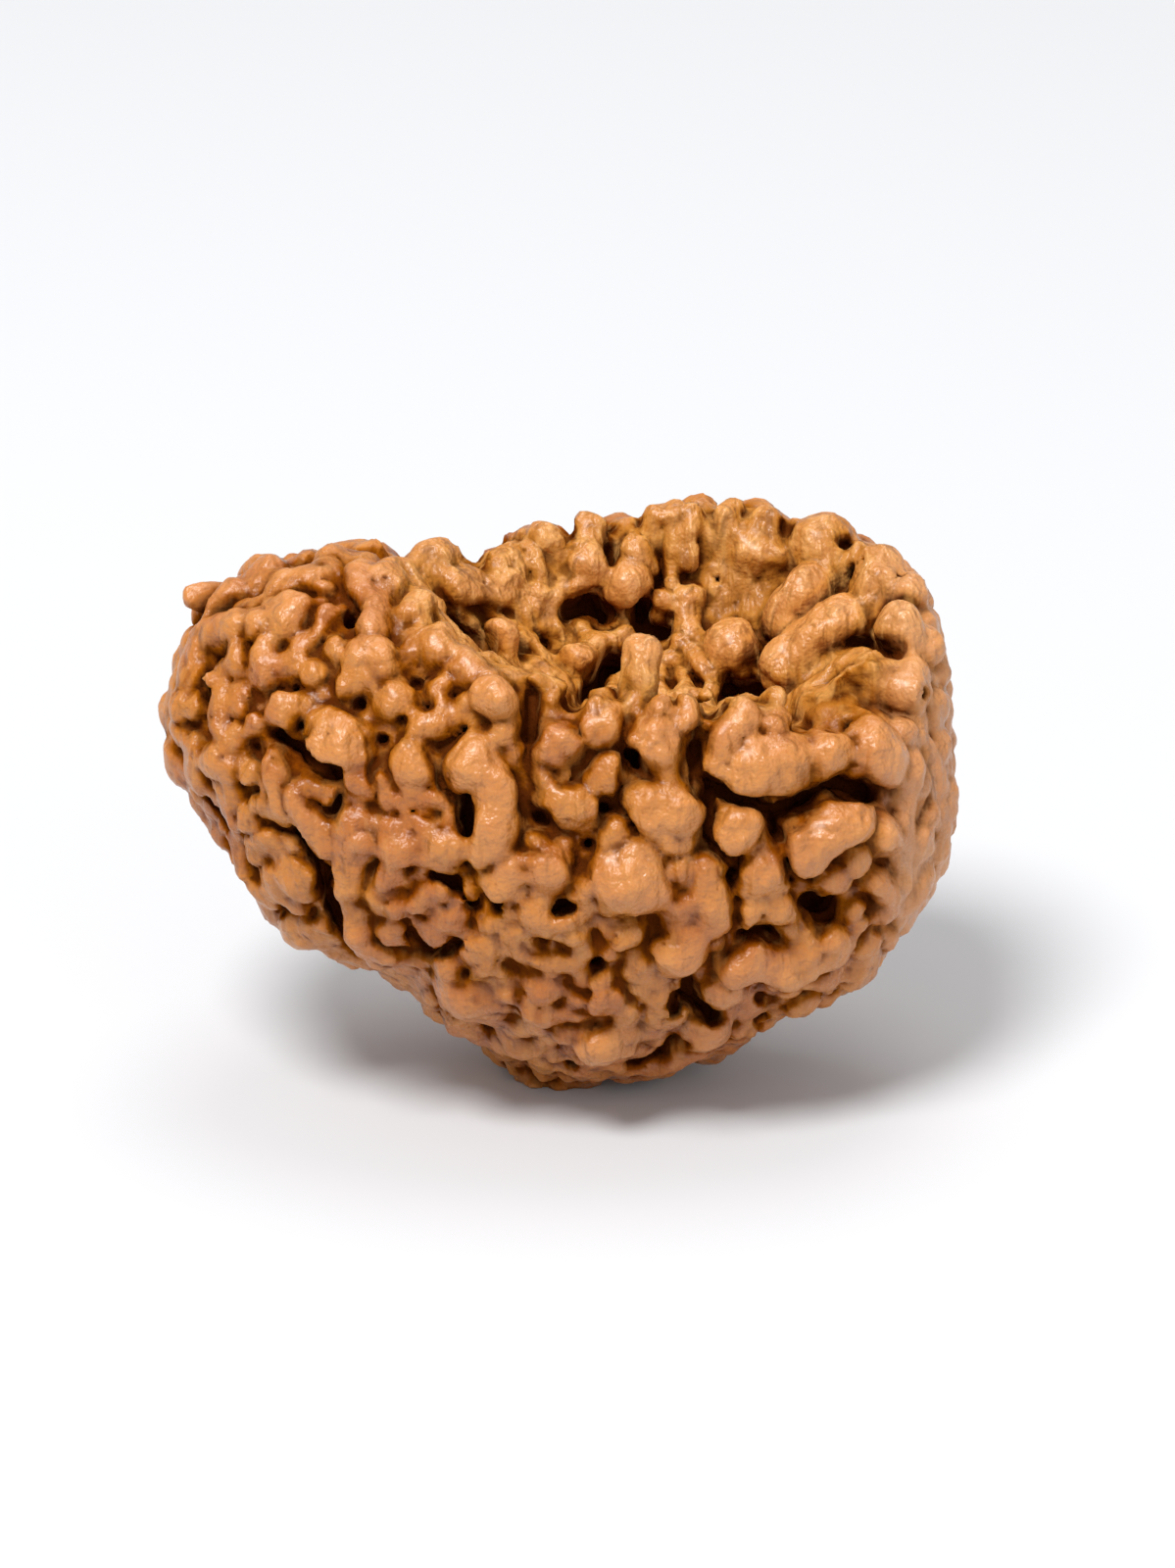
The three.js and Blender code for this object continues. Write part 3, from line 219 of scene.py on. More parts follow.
# Pits and slits too slender for the solid's faces.
FINE_PITS = [
    [-7.65, 3.0, 0.15, 0.6], [-4.05, 3.15, 0.15, 0.6], [-3.6, 3.4, 0.15, 0.6],
    [-3.05, 3.4, 0.15, 0.6], [8.65, 7.4, 0.18, 0.3], [10.65, 6.45, 0.16, 0.6],
    [-10.3, 1.75, 0.16, 0.6], [-7.45, 2.0, 0.18, 0.7], [-2.65, 1.75, 0.18, 0.7],
    [-3.75, 2.45, 0.15, 0.6], [-4.2, -0.55, 0.16, 0.6], [-4.5, 2.15, 0.15, 0.4],
    [8.65, 1.8, 0.16, 0.7], [10.65, 2.85, 0.16, 0.5], [-0.4, -4.35, 0.15, 0.7],
    [-4.15, -5.2, 0.16, 0.6], [-2.6, -5.3, 0.16, 0.5], [5.2, -2.5, 0.16, 0.8],
    [6.85, -2.6, 0.16, 0.8], [8.15, -5.45, 0.15, 0.5], [6.15, -6.7, 0.15, 0.5],
]
FINE_SLITS = [
    [0.15, 0.7, [-10.3, 3.2], [-10.25, 2.7]],
    [0.15, 0.6, [1.55, 7.3], [1.6, 6.5]],
    [0.15, 0.7, [9.35, 6.75], [8.95, 6.5]],
    [0.16, 0.8, [-6.3, -0.1], [-6.45, -0.6]],
    [0.15, 0.6, [-10.6, 0.05], [-10.2, -0.4], [-10.0, -1.0]],
    [0.15, 0.8, [4.1, 1.3], [4.0, 0.3]],
    [0.15, 0.8, [-3.5, -2.4], [-2.9, -2.75], [-2.35, -3.3]],
    [0.15, 0.7, [-4.3, -4.2], [-3.8, -4.75], [-2.5, -4.4]],
    [0.15, 0.8, [-1.65, -3.05], [-1.65, -3.35]],
    [0.16, 0.9, [-0.25, -3.6], [0.4, -3.35]],
    [0.15, 0.6, [3.5, -6.0], [3.55, -6.6]],
]

KNOB_LIFT = 1.15  # the placed knobs and ridges stand this many times as high as listed
KNOB_WIDTH = 1.26  # and are this many times as wide

# Knobs over the rest of the seed, wherever there is room, largest first. In the hollow they are
# low flutes that run down towards its foot.
FILL_SEED = 20731
FILL_TRIES = 7000
FILL_RADIUS = (0.95, 0.26)  # of the first try and the last
FILL_SWELL = (0.8, 0.4)  # the least share of that radius, and how much a draw adds to it
FILL_SPACING = 0.7  # the least gap to another knob's line, as a share of both radii
PIT_MARGIN = 0.7  # how far a knob keeps from a pit's rim, as a share of its radius
FILL_HEIGHT = 0.8
FILL_STRETCH = 1.8
FILL_TURN = 1.5  # how far the longer knobs may lie round from the way up, in all
FLUTE_REACH = 0.6  # flutes stand this near to the hollow's space
FLUTE_RADIUS = 0.36
FLUTE_HEIGHT = 0.2
FLUTE_LENGTH = 2.0
HOLLOW_FOOT = np.array([3.2, -0.8, 12.1])
CORE = np.array([0.5, -0.6, 7.2])  # tries are drawn as ways out from here
CORE_SHAPE = np.array([11.5, 6.3, 7.5])
REACH = 16  # how far from the core the search for the surface starts
DRAW_FACTOR = 48271
DRAW_LIMIT = 2147483647

# How the forms run into each other, and how the whole surface wavers.
KNOB_BLEND = 0.1
PIT_BLEND = 0.2
VALLEY_BLEND = 0.8
PIT_TAPER = 0.6  # a pit's foot is this share of its mouth
SLIT_STEP = 1.3  # the rods of a slit lie this many radii apart
ROOT_DEPTH = 0.55
ROOT_SWELL = 1.12
WAVER = (0.09, 0.06)
WAVER_TURNS = (1.7, 3.1)
WAVER_STARTS = (1.3, 2.1, 4.4)
WAVER_SKEW = 0.4

# How places on the bare body are found.
SEARCH_STEP = 0.25
HALVINGS = 24
SLOPE_STEP = 0.05
STAND_OFF = 2  # the search starts this far in front of the body
OUTLINE_SHARE = 0.975  # places on the face are kept within this share of the outline

# The flat spot that the seed rests on, cut from a mound that no knobs stand on.
FLAT_MIDDLE = np.array([0.4, 0.85, 0])
FLAT_CLEAR = 2.1
MOUND_RADIUS = 2.6
MOUND_HEIGHT = 1.75
GROUND_CLEAR = 0.08  # all else keeps this far above the ground

# Small lobes over the whole surface, (size, height), each rounded with a crease round it. Their
# height is shared out by place.
LOBES = [(1.0, 0.16), (0.52, 0.1)]
LOBE_MEAN = 0.5  # taken off them, so that the seed as a whole doesn't swell
LOBE_WIDTH = 0.6  # how far they reach, squared, as a share of their size
LOBE_BAND = 0.5  # how far from the surface the field is worked out with them
HOLLOW_LOBES = 0.9  # their share in the hollow
HOLLOW_LOBE_BAND = (0.3, 1.5)
KNOB_LOBES = 0.6  # and on the tops of the knobs
KNOB_LOBE_BAND = (0.3, 0.8)
FLANK_CALM = 0.35  # how much of them is missing on the right flank
FLANK_BAND = (8.8, 10.8)
FOOT_LOBES = 2.0  # their share on the mound round the flat spot
FOOT_REACH = (3.6, 2.6)
FARTHEST = 9.0  # more than any lobe's reach, squared

# A cell's own number is what is left over of a large sine.
HASH_TURNS = (127.1, 311.7, 74.7)
HASH_SHIFT = 17.3
HASH_SIZE = 43758.5453

# The visible mesh.
CELL = 0.153
GRID_LOW = FACE_MIDDLE - [13.2, 8.0, 9.6]
GRID_HIGH = FACE_MIDDLE + [13.2, 8.6, 8.6]
EVENING_ROUNDS = 3
EVENING_SHARE = 0.5  # how far a point goes towards its neighbours' middle
SETTLING_ROUNDS = 2
SETTLING_STEP = 0.3  # the most that a point goes back at once, in cells
LEAST_SLOPE = 0.1  # squared
GRID_SLOPE_STEP = 0.7  # in cells
INNER_EDGE = 1.001  # keeps sampled places within the grid's last cell

# Low strands and lumps on the mesh, as turns of the noise for each mm.
STRAND_HEIGHT = 0.035
STRAND_TURNS = np.array([2.6, 2.6, 0.75])
STRAND_BEND = 0.8
BEND_TURNS = np.array([0.7, 0.7, 0.5])
LUMP_HEIGHT = 0.05
LUMP_TURNS = 1.7
LUMP_START = np.array([0, 0, 9])
RELIEF_HEIGHTS = (0.1, 0.6)  # they fade out below these, so that the flat spot stays flat

# What the finish goes by at each point of the mesh.
NEAR_REACHES = (0.25, 0.5)
FAR_REACHES = (1.0, 2.0)
CREASE_REACH, CREASE_BEND = 0.16, 8
SWELL_REACH, SWELL_BEND = 0.3, 5
KNOB_FOOT_BAND = (-0.25, 0.45)
IN_HOLLOW_BAND = (0.1, 1.6)
NOISE_ROUGHNESS = 0.55

# The camera looks square at the face plane, from in front.
CAMERA_DISTANCE = 0.2
CAMERA_LENS = 153
NEAREST_SEEN = 0.001
AIM = (0.93, 0.2)  # right and up of the face's middle, in mm

# The studio. Lights are listed as name, place, size and power.
WORLD_COLOUR = (0.99, 0.99, 1.0, 1)
WORLD_STRENGTH = 0.53
FLOOR_HALF = 3.0
FLOOR_ROUGHNESS = 0.9
LIGHTS = [
    ("key", (-0.11, -0.17, 0.39), 0.15, 1.88),
    ("fill", (0.26, -0.26, 0.18), 0.25, 0.2),
    ("top", (0.03, 0.10, 0.36), 0.20, 0.35),
]

LEAN_COS, LEAN_SIN = math.cos(FACE_LEAN), math.sin(FACE_LEAN)
AWAY = np.array([0, LEAN_COS, -LEAN_SIN])


def face_vector(right, up, away=0.0):
    """A step along the face plane's own axes, in the seed's frame."""
    right, up, away = np.broadcast_arrays(right, up, away)
    across = [right, up * LEAN_SIN + away * LEAN_COS, up * LEAN_COS - away * LEAN_SIN]
    return np.stack(across, axis=-1)


def outline_table():
    """The outline's radius at evenly spaced angles, a weighted mean of its points."""
    right, up = np.array(OUTLINE, float).T
    angles = np.linspace(-math.pi, math.pi, OUTLINE_STEPS + 1)
    nearness = np.cos(angles[:, None] - np.arctan2(up, right)) - 1
    weight = np.exp(OUTLINE_BLEND * nearness)
    return angles, weight @ np.hypot(right, up) / weight.sum(axis=1)


OUTLINE_ANGLES, OUTLINE_RADII = outline_table()


def outline_radius(angle):
    return np.interp(angle, OUTLINE_ANGLES, OUTLINE_RADII)


def smooth_join(a, b, blend):
    overlap = np.maximum(blend - np.abs(a - b), 0) / blend
    return np.minimum(a, b) - overlap * overlap * (blend / 4)


def smooth_cut(a, b, blend):
    return -smooth_join(-a, b, blend)


def body_distance(x, y, z):
    x, y, z = x - FACE_MIDDLE[0], y - FACE_MIDDLE[1], z - FACE_MIDDLE[2]
    up = z * LEAN_COS + y * LEAN_SIN
    away = y * LEAN_COS - z * LEAN_SIN
    across = np.hypot(x, up)
    through = away - BACK_BOW * up * up + UPRIGHT_LEAN * up
    wide = across / outline_radius(np.arctan2(up, x))
    size = (wide**FULLNESS + np.abs(through / HALF_THICKNESS) ** FULLNESS) ** (1 / FULLNESS)
    return np.hypot(across, through) * (1 - 1 / np.maximum(size, TINY))


def hollow_distance(x, y, z):
    x, y, z = x - HOLLOW_MIDDLE[0], y - HOLLOW_MIDDLE[1], z - HOLLOW_MIDDLE[2]
    stretched = (x / HOLLOW_HALF[0]) ** 2 + (y / HOLLOW_HALF[1]) ** 2 + (z / HOLLOW_HALF[2]) ** 2
    return np.sqrt(x * x + y * y + z * z) * (1 - 1 / np.maximum(np.sqrt(stretched), TINY))


def smoothstep(low, high, values):
    share = np.clip((values - low) / (high - low), 0, 1)
    return share * share * (3 - 2 * share)


def calmness(x, y, z):
    """1 on the belly and the right flank, where the relief is low, and 0 where it is full."""
    rim = CALM_RIM_SHARE * smoothstep(*CALM_RIM, hollow_distance(x, y, z))
    return np.maximum(rim, np.maximum(smoothstep(*CALM_HEIGHTS, z), smoothstep(*CALM_RIGHTS, x)))


def wavered(x, y, z):
    """Rods are measured at these places, so that they come out crooked."""
    moves = [x, y, z]
    for size, turn in zip(WAVER, WAVER_TURNS):
        moves[0] = moves[0] + size * np.sin(turn * (y + WAVER_SKEW * z) + WAVER_STARTS[0])
        moves[1] = moves[1] + size * np.sin(turn * (z + WAVER_SKEW * x) + WAVER_STARTS[1])
        moves[2] = moves[2] + size * np.sin(turn * (x + WAVER_SKEW * y) + WAVER_STARTS[2])
    return moves


def make_rod(start, end, start_radius, end_radius, blend, cuts):
    """A round-ended rod that is joined to the seed, or cut from it."""
    start, end = np.array(wavered(*start)), np.array(wavered(*end))
    run = end - start
    return {
        "start": start,
        "run": run,
        "length_squared": max(float(run @ run), TINY),
        "radii": (start_radius, end_radius),
        "blend": blend,
        "cuts": cuts,
        "middle": start + run / 2,
        "bound": math.sqrt(float(run @ run)) / 2 + max(start_radius, end_radius) + blend,
    }


def knob_rods(line, normals, radius):
    """A rounded ridge along a line, or a knob where it has one point, with its root."""
    roots = line - ROOT_DEPTH * normals
    swelled = ROOT_SWELL * radius
    if len(line) == 1:
        return [make_rod(line[0], roots[0], radius, swelled, KNOB_BLEND, False)]
    rods = []
    for points, width in ((line, radius), (roots, swelled)):
        for start, end in zip(points, points[1:]):
            rods.append(make_rod(start, end, width, width, KNOB_BLEND, False))
    return rods


def apply_rod(values, rod, x, y, z):
    start, run, (start_radius, end_radius) = rod["start"], rod["run"], rod["radii"]
    x, y, z = x - start[0], y - start[1], z - start[2]
    share = np.clip((x * run[0] + y * run[1] + z * run[2]) / rod["length_squared"], 0, 1)
    x, y, z = x - share * run[0], y - share * run[1], z - share * run[2]
    distance = np.sqrt(x * x + y * y + z * z) - start_radius - (end_radius - start_radius) * share
    merge = smooth_cut if rod["cuts"] else smooth_join
    return merge(values, distance, rod["blend"])


VALLEY_RODS = []  # filled below, once places on the body can be found


def bare_value(points):
    """The body with its hollow and valley, before any knob stands on it."""
    x, y, z = np.moveaxis(points, -1, 0)
    values = smooth_cut(body_distance(x, y, z), hollow_distance(x, y, z), HOLLOW_BLEND)
    crooked = wavered(x, y, z)
    for rod in VALLEY_RODS:
        values = apply_rod(values, rod, *crooked)
    return values


def unit(vectors):
    return vectors / np.linalg.norm(vectors, axis=-1, keepdims=True)


def bare_normals(points):
    slopes = []
    for step in SLOPE_STEP * np.eye(3):
        slopes.append(bare_value(points + step) - bare_value(points - step))
    return unit(np.stack(slopes, axis=-1))


def first_hits(starts, directions, length):
    """Where straight lines first meet the bare body, coming in from outside, and its normals."""
    near = np.zeros(len(starts))
    searching = np.ones(len(starts), bool)
    while searching.any():
        points = starts[searching] + near[searching, None] * directions[searching]
        outside = (bare_value(points) > 0) & (near[searching] < length)
        near[searching] += np.where(outside, SEARCH_STEP, 0)
        searching[searching] = outside
    far = near - SEARCH_STEP
    for _ in range(HALVINGS):
        half = (near + far) / 2
        is_outside = bare_value(starts + half[:, None] * directions) > 0
        far = np.where(is_outside, half, far)
        near = np.where(is_outside, near, half)
    points = starts + near[:, None] * directions
    return points, bare_normals(points)


def face_places(points):
    """Places on the face, [right, up], as points of the bare body and its normals there."""
    right, up = np.array(points, float).T
    limit = OUTLINE_SHARE * outline_radius(np.arctan2(up, right))
    share = np.minimum(1, limit / np.maximum(np.hypot(right, up), TINY))
    away = HALF_THICKNESS + STAND_OFF
    starts = face_vector(right * share, up * share, -away) + FACE_MIDDLE
    return first_hits(starts, np.tile(AWAY, (len(starts), 1)), 2 * away)


def core_places(turns, heights):
    """Places all over the seed, seen from its core."""
    rings = np.sqrt(1 - heights * heights)
    angles = 2 * math.pi * turns
    ball = np.stack([rings * np.cos(angles), rings * np.sin(angles), heights], axis=-1)
    directions = unit(ball * CORE_SHAPE)
    return first_hits(CORE + REACH * directions, -directions, REACH)


def ridge_rods(radius, height, points):
    places, normals = face_places(points)
    return knob_rods(places + normals * (height - radius), normals, radius)


def pit_rod(place, normal, radius, depth):
    """A drill hole, halfway between square to the body and square to the face plane."""
    way = unit(normal - AWAY)
    foot = place + way * (radius * PIT_TAPER - depth)
    return make_rod(place + 2 * radius * way, foot, radius, radius * PIT_TAPER, PIT_BLEND, True)


def slit_rods(radius, depth, points):
    places, normals = face_places(points)
    ways = unit(normals - AWAY)
    levels = math.ceil(depth / (SLIT_STEP * radius)) + 1
    rods = []
    for level in range(levels + 1):
        share = level / levels
        width = radius * (1 - share * (1 - PIT_TAPER))
        line = places + ways * (radius - share * depth)
        for start, end in zip(line, line[1:]):
            rods.append(make_rod(start, end, width, width, PIT_BLEND, True))
    return rods


def repeatable_numbers(seed, shape):
    """A repeatable table of numbers from 0 to 1."""
    numbers = np.empty(math.prod(shape))
    state = seed
    for i in range(len(numbers)):
        state = state * DRAW_FACTOR % DRAW_LIMIT
        numbers[i] = state / DRAW_LIMIT
    return numbers.reshape(shape)


class RodLines:
    """The middle lines of a growing list of rods, to find how near a place comes to them."""

    def __init__(self, rods, most):
        self.starts, self.runs = np.zeros((most, 3)), np.zeros((most, 3))
        self.squares, self.radii = np.ones(most), np.zeros(most)
        self.count = 0
        for rod in rods:
            self.add(rod)

    def add(self, rod):
        i = self.count
        self.starts[i], self.runs[i] = rod["start"], rod["run"]
        self.squares[i], self.radii[i] = rod["length_squared"], rod["radii"][0]
        self.count += 1

    def gaps(self, point):
        """How far the point is from each middle line, and each rod's radius."""
        n = self.count
        offsets, runs = point - self.starts[:n], self.runs[:n]
        share = np.clip(np.einsum("ij,ij->i", offsets, runs) / self.squares[:n], 0, 1)
        return np.linalg.norm(offsets - share[:, None] * runs, axis=1), self.radii[:n]


def fill_rods(placed, pit_rods):
    """Fills the room between the listed forms with knobs, and the hollow with flutes."""
    draws = repeatable_numbers(FILL_SEED, (FILL_TRIES, 5))
    places, normals = core_places(draws[:, 0], 2 * draws[:, 1] - 1)
    in_hollow = hollow_distance(*places.T) < FLUTE_REACH
    crooked = np.stack(wavered(*places.T), axis=-1)
    knobs = RodLines(placed, len(placed) + FILL_TRIES)
    pits = RodLines(pit_rods, len(pit_rods))
    added = []
    for i in range(FILL_TRIES):
        place, normal, is_flute = places[i], normals[i], in_hollow[i]
        swell, stretch, heading = draws[i, 2:]
        share = math.sqrt(i / FILL_TRIES)
        size = FILL_RADIUS[0] + (FILL_RADIUS[1] - FILL_RADIUS[0]) * share
        if is_flute:
            size = FLUTE_RADIUS
        radius = size * (FILL_SWELL[0] + FILL_SWELL[1] * swell)
        if math.dist(place, FLAT_MIDDLE) < FLAT_CLEAR + radius:
            continue
        gaps, radii = knobs.gaps(crooked[i])
        if (gaps < FILL_SPACING * (radius + radii)).any():
            continue
        gaps, radii = pits.gaps(crooked[i])
        if (gaps < radii + PIT_MARGIN * radius).any():
            continue
        if is_flute:
            side = HOLLOW_FOOT - place
            side = unit(side - (side @ normal) * normal)
            length, height = FLUTE_LENGTH, FLUTE_HEIGHT
        else:
            side = unit(np.array([0, 0, 1]) - normal[2] * normal)
            turn = FILL_TURN * (heading - 0.5)
            side = math.cos(turn) * side + math.sin(turn) * np.cross(normal, side)
            length, height = FILL_STRETCH * radius * stretch * stretch, FILL_HEIGHT * radius
            height *= 1 - CALM_KNOBS * calmness(*place)
        if normal[2] < 0:
            height = min(height, (GROUND_CLEAR - place[2]) / normal[2])
        ends = np.array([place - side * length / 2, place + side * length / 2])
        line = ends + (height - radius - bare_value(ends))[:, None] * normal
        rods = knob_rods(line, np.array([normal, normal]), radius)
        knobs.add(rods[0])
        added += rods
    return added


def seed_rods():
    """Every form of the seed, in the order in which they are joined to it or cut from it."""
    places, normals = face_places(VALLEY_POINTS)
    line = places + normals * (VALLEY_RADIUS - VALLEY_DEPTH)
    for start, end in zip(line, line[1:]):
        VALLEY_RODS.append(make_rod(start, end, VALLEY_RADIUS, VALLEY_RADIUS, VALLEY_BLEND, True))
    raised, pits, fine_pits = [], [], []
    for right, up, radius, height in KNOBS:
        raised += ridge_rods(KNOB_WIDTH * radius, KNOB_LIFT * height, [[right, up]])
    for radius, height, *points in RIDGES:
        raised += ridge_rods(KNOB_WIDTH * radius, KNOB_LIFT * height, points)
    for rows, rods in ((PITS, pits), (FINE_PITS, fine_pits)):
        places, normals = face_places([row[:2] for row in rows])
        for place, normal, row in zip(places, normals, rows):
            rods.append(pit_rod(place, normal, *row[2:]))
    for rows, rods in ((SLITS, pits), (FINE_SLITS, fine_pits)):
        for radius, depth, *points in rows:
            rods += slit_rods(radius, depth, points)
    for radius, foot, tip in FINGERS:
        places, normals = face_places([foot])
        start = places[0] - normals[0] * radius / 2
        end = start + face_vector(tip[0] - foot[0], tip[1] - foot[1])
        raised.append(make_rod(start, end, radius, radius, KNOB_BLEND, False))
    foot, tip = (FACE_MIDDLE + face_vector(*row[:3]) for row in HOOK)
    raised.append(make_rod(foot, tip, HOOK[0][3], HOOK[1][3], KNOB_BLEND, False))
    for right, up, radius in NOTCHES:
        start, end = (FACE_MIDDLE + face_vector(right, up, side * NOTCH_REACH) for side in (-1, 1))
        pits.append(make_rod(start, end, radius, radius, PIT_BLEND, True))
    raised += fill_rods(raised, pits)
    ball = FLAT_MIDDLE + [0, 0, MOUND_HEIGHT]
    mound = make_rod(ball, ball, MOUND_RADIUS, MOUND_RADIUS, KNOB_BLEND, False)
    return [*VALLEY_RODS, mound, *raised, *pits, *fine_pits]


def cell_numbers(cells, which):
    """A repeatable number from 0 to 1 for each cell of a grid."""
    large = HASH_SIZE * np.sin(cells @ HASH_TURNS + HASH_SHIFT * which)
    return large - np.floor(large)


def lobe_swell(x, y, z, size):
    """1 at the middle of a lobe, down to about 0 in the creases between lobes of this size."""
    places = np.stack([x, y, z], axis=-1) / size
    corners = np.floor(places)
    nearest = np.full(len(places), FARTHEST)
    for step in product((-1, 0, 1), repeat=3):
        cells = corners + step
        gap = 0
        for axis in range(3):
            gap = gap + (places[:, axis] - cells[:, axis] - cell_numbers(cells, axis)) ** 2
        nearest = np.minimum(nearest, gap)
    return 1 - nearest / LOBE_WIDTH


def lobe_share(x, y, z, bare):
    """How much of their height the lobes have at each place."""
    in_hollow = 1 - smoothstep(*HOLLOW_LOBE_BAND, hollow_distance(x, y, z))
    share = 1 - (1 - HOLLOW_LOBES) * in_hollow
    share *= 1 - (1 - KNOB_LOBES) * smoothstep(*KNOB_LOBE_BAND, bare)
    share *= 1 - FLANK_CALM * smoothstep(*FLANK_BAND, x)
    foot = np.sqrt(sum((v - middle) ** 2 for v, middle in zip((x, y, z), FLAT_MIDDLE)))
    return share + (FOOT_LOBES - share) * smoothstep(*FOOT_REACH, foot)


class Grid:
    """The field's values on a grid of cells round the seed."""

    def __init__(self, rods):
        counts = np.ceil((GRID_HIGH - GRID_LOW) / CELL).astype(int) + 1
        lines = [low + CELL * np.arange(count) for low, count in zip(GRID_LOW, counts)]
        x, y, z = np.meshgrid(*lines, indexing="ij", sparse=True)
        body, hollow = body_distance(x, y, z), hollow_distance(x, y, z)
        bare = smooth_cut(body, hollow, HOLLOW_BLEND)
        ground = body + GAP_DEPTH * (1 - CALM_GAPS * calmness(x, y, z))
        values = smooth_cut(ground, hollow, HOLLOW_BLEND)
        x, y, z = (np.ascontiguousarray(np.broadcast_to(v, counts)) for v in wavered(x, y, z))
        for rod in rods:
            reach = rod["bound"] + sum(WAVER) + CELL
            first = np.maximum(((rod["middle"] - reach - GRID_LOW) / CELL).astype(int), 0)
            last = np.minimum(((rod["middle"] + reach - GRID_LOW) / CELL).astype(int) + 2, counts)
            box = tuple(slice(a, b) for a, b in zip(first, last))
            values[box] = apply_rod(values[box], rod, x[box], y[box], z[box])
        band = np.abs(values) < LOBE_BAND
        places = x[band], y[band], z[band]
        share = lobe_share(*places, bare[band])
        for size, height in LOBES:
            values[band] -= height * share * (lobe_swell(*places, size) - LOBE_MEAN)
        self.values = np.maximum(values, -lines[2])  # cut flat where the seed rests

    def sample(self, points):
        """Values between the grid's points, blended from the eight round each."""
        most = np.array(self.values.shape) - INNER_EDGE
        places = np.clip((points - GRID_LOW) / CELL, 0, most)
        first = places.astype(int)
        part = places - first
        total = np.zeros(len(points))
        for corner in product((0, 1), repeat=3):
            weight = np.prod(np.where(corner, part, 1 - part), axis=1)
            total += weight * self.values[tuple((first + corner).T)]
        return total

    def bends(self, points, reach):
        """How the surface bends, per mm: above zero on a swell, below it in a crease."""
        total = -6 * self.sample(points)
        for axis in np.eye(3) * reach:
            total = total + self.sample(points + axis) + self.sample(points - axis)
        return total / (reach * reach)

    def slopes(self, points):
        reach = GRID_SLOPE_STEP * CELL
        rows = []
        for axis in np.eye(3) * reach:
            rows.append(self.sample(points + axis) - self.sample(points - axis))
        return np.stack(rows, axis=-1) / (2 * reach)


def net_mesh(grid):
    """A point in each cell that the surface crosses, and a four-sided face round each grid edge."""
    values = grid.values
    inside = values < 0
    cells, places, quads, flips = [], [], [], []
    cell_shape = np.array(values.shape)
    for axis in range(3):
        others = [other for other in range(3) if other != axis]
        low = [slice(None)] * 3
        high = [slice(None)] * 3
        low[axis], high[axis] = slice(None, -1), slice(1, None)
        crossed = np.argwhere(inside[tuple(low)] != inside[tuple(high)])
        next_to = crossed.copy()
        next_to[:, axis] += 1
        near, far = values[tuple(crossed.T)], values[tuple(next_to.T)]
        place = crossed.astype(float)
        place[:, axis] += near / (near - far)
        ring = []
        for a, b in ((0, 0), (1, 0), (1, 1), (0, 1)):
            cell = crossed.copy()
            cell[:, others[0]] -= a
            cell[:, others[1]] -= b
            ring.append(np.ravel_multi_index(cell.T, cell_shape))
            cells.append(ring[-1])
            places.append(place)
        quads.append(np.stack(ring, axis=1))
        flips.append((near < 0) == (axis != 1))
    cells, places = np.concatenate(cells), np.concatenate(places)
    names, corner = np.unique(cells, return_inverse=True)
    totals = np.stack([np.bincount(corner, places[:, axis]) for axis in range(3)], axis=-1)
    points = GRID_LOW + CELL * totals / np.bincount(corner)[:, None]
    quads, flips = np.concatenate(quads), np.concatenate(flips)
    quads = np.searchsorted(names, quads)
    quads[flips] = quads[flips][:, ::-1]
    return points, quads


def largest_body(points, quads):
    """Leaves out any small closed scrap that isn't joined to the rest."""
    label = np.arange(len(points))
    while True:
        least = label[quads].min(axis=1)
        new = label.copy()
        np.minimum.at(new, quads, least[:, None])
        new = new[new]
        if (new == label).all():
            break
        label = new
    keep = label == np.bincount(label).argmax()
    place = np.cumsum(keep) - 1
    return points[keep], place[quads[keep[quads].all(axis=1)]]


def evened(points, quads, grid):
    """Moves each point towards its neighbours' middle and back onto the surface."""
    count = len(points)
    flat = np.abs(points[:, 2]) < TINY
    most = SETTLING_STEP * CELL
    for _ in range(EVENING_ROUNDS):
        total, weight = np.zeros((count, 3)), np.zeros(count)
        for a, b in ((0, 1), (1, 2), (2, 3), (3, 0)):
            for here, there in ((a, b), (b, a)):
                ends = quads[:, here]
                for axis in range(3):
                    total[:, axis] += np.bincount(ends, points[quads[:, there], axis], count)
                weight += np.bincount(ends, minlength=count)
        moved = points + EVENING_SHARE * (total / weight[:, None] - points)
        for _ in range(SETTLING_ROUNDS):
            slope = grid.slopes(moved)
            size = np.maximum((slope * slope).sum(axis=1), LEAST_SLOPE)
            step = np.clip(grid.sample(moved) / size, -most, most)
            moved = moved - step[:, None] * slope
        moved[flat, 2] = points[flat, 2]
        points = moved
    return points


def openness(grid, points, normals, reaches):
    """From 1 on an open swell down to 0 at the foot of a pit."""
    total = 0
    for reach in reaches:
        total = total + np.clip(grid.sample(points + reach * normals) / reach, 0, 1)
    return total / len(reaches)


def noise_at(places):
    """Soft noise, from about -1 to 1, at each place."""
    return np.array([noise.noise(Vector(place)) for place in places])


def relief(points):
    """Low strands, which run up and down the seed, and lumps."""
    bend = STRAND_BEND * noise_at(BEND_TURNS * points)
    strand = noise_at(STRAND_TURNS * points + bend[:, None] * [1, 1, 0])
    lump = noise_at(LUMP_TURNS * points + LUMP_START)
    heights = STRAND_HEIGHT * (1 - 2 * np.abs(strand)) + LUMP_HEIGHT * lump
    return heights * smoothstep(*RELIEF_HEIGHTS, points[:, 2])


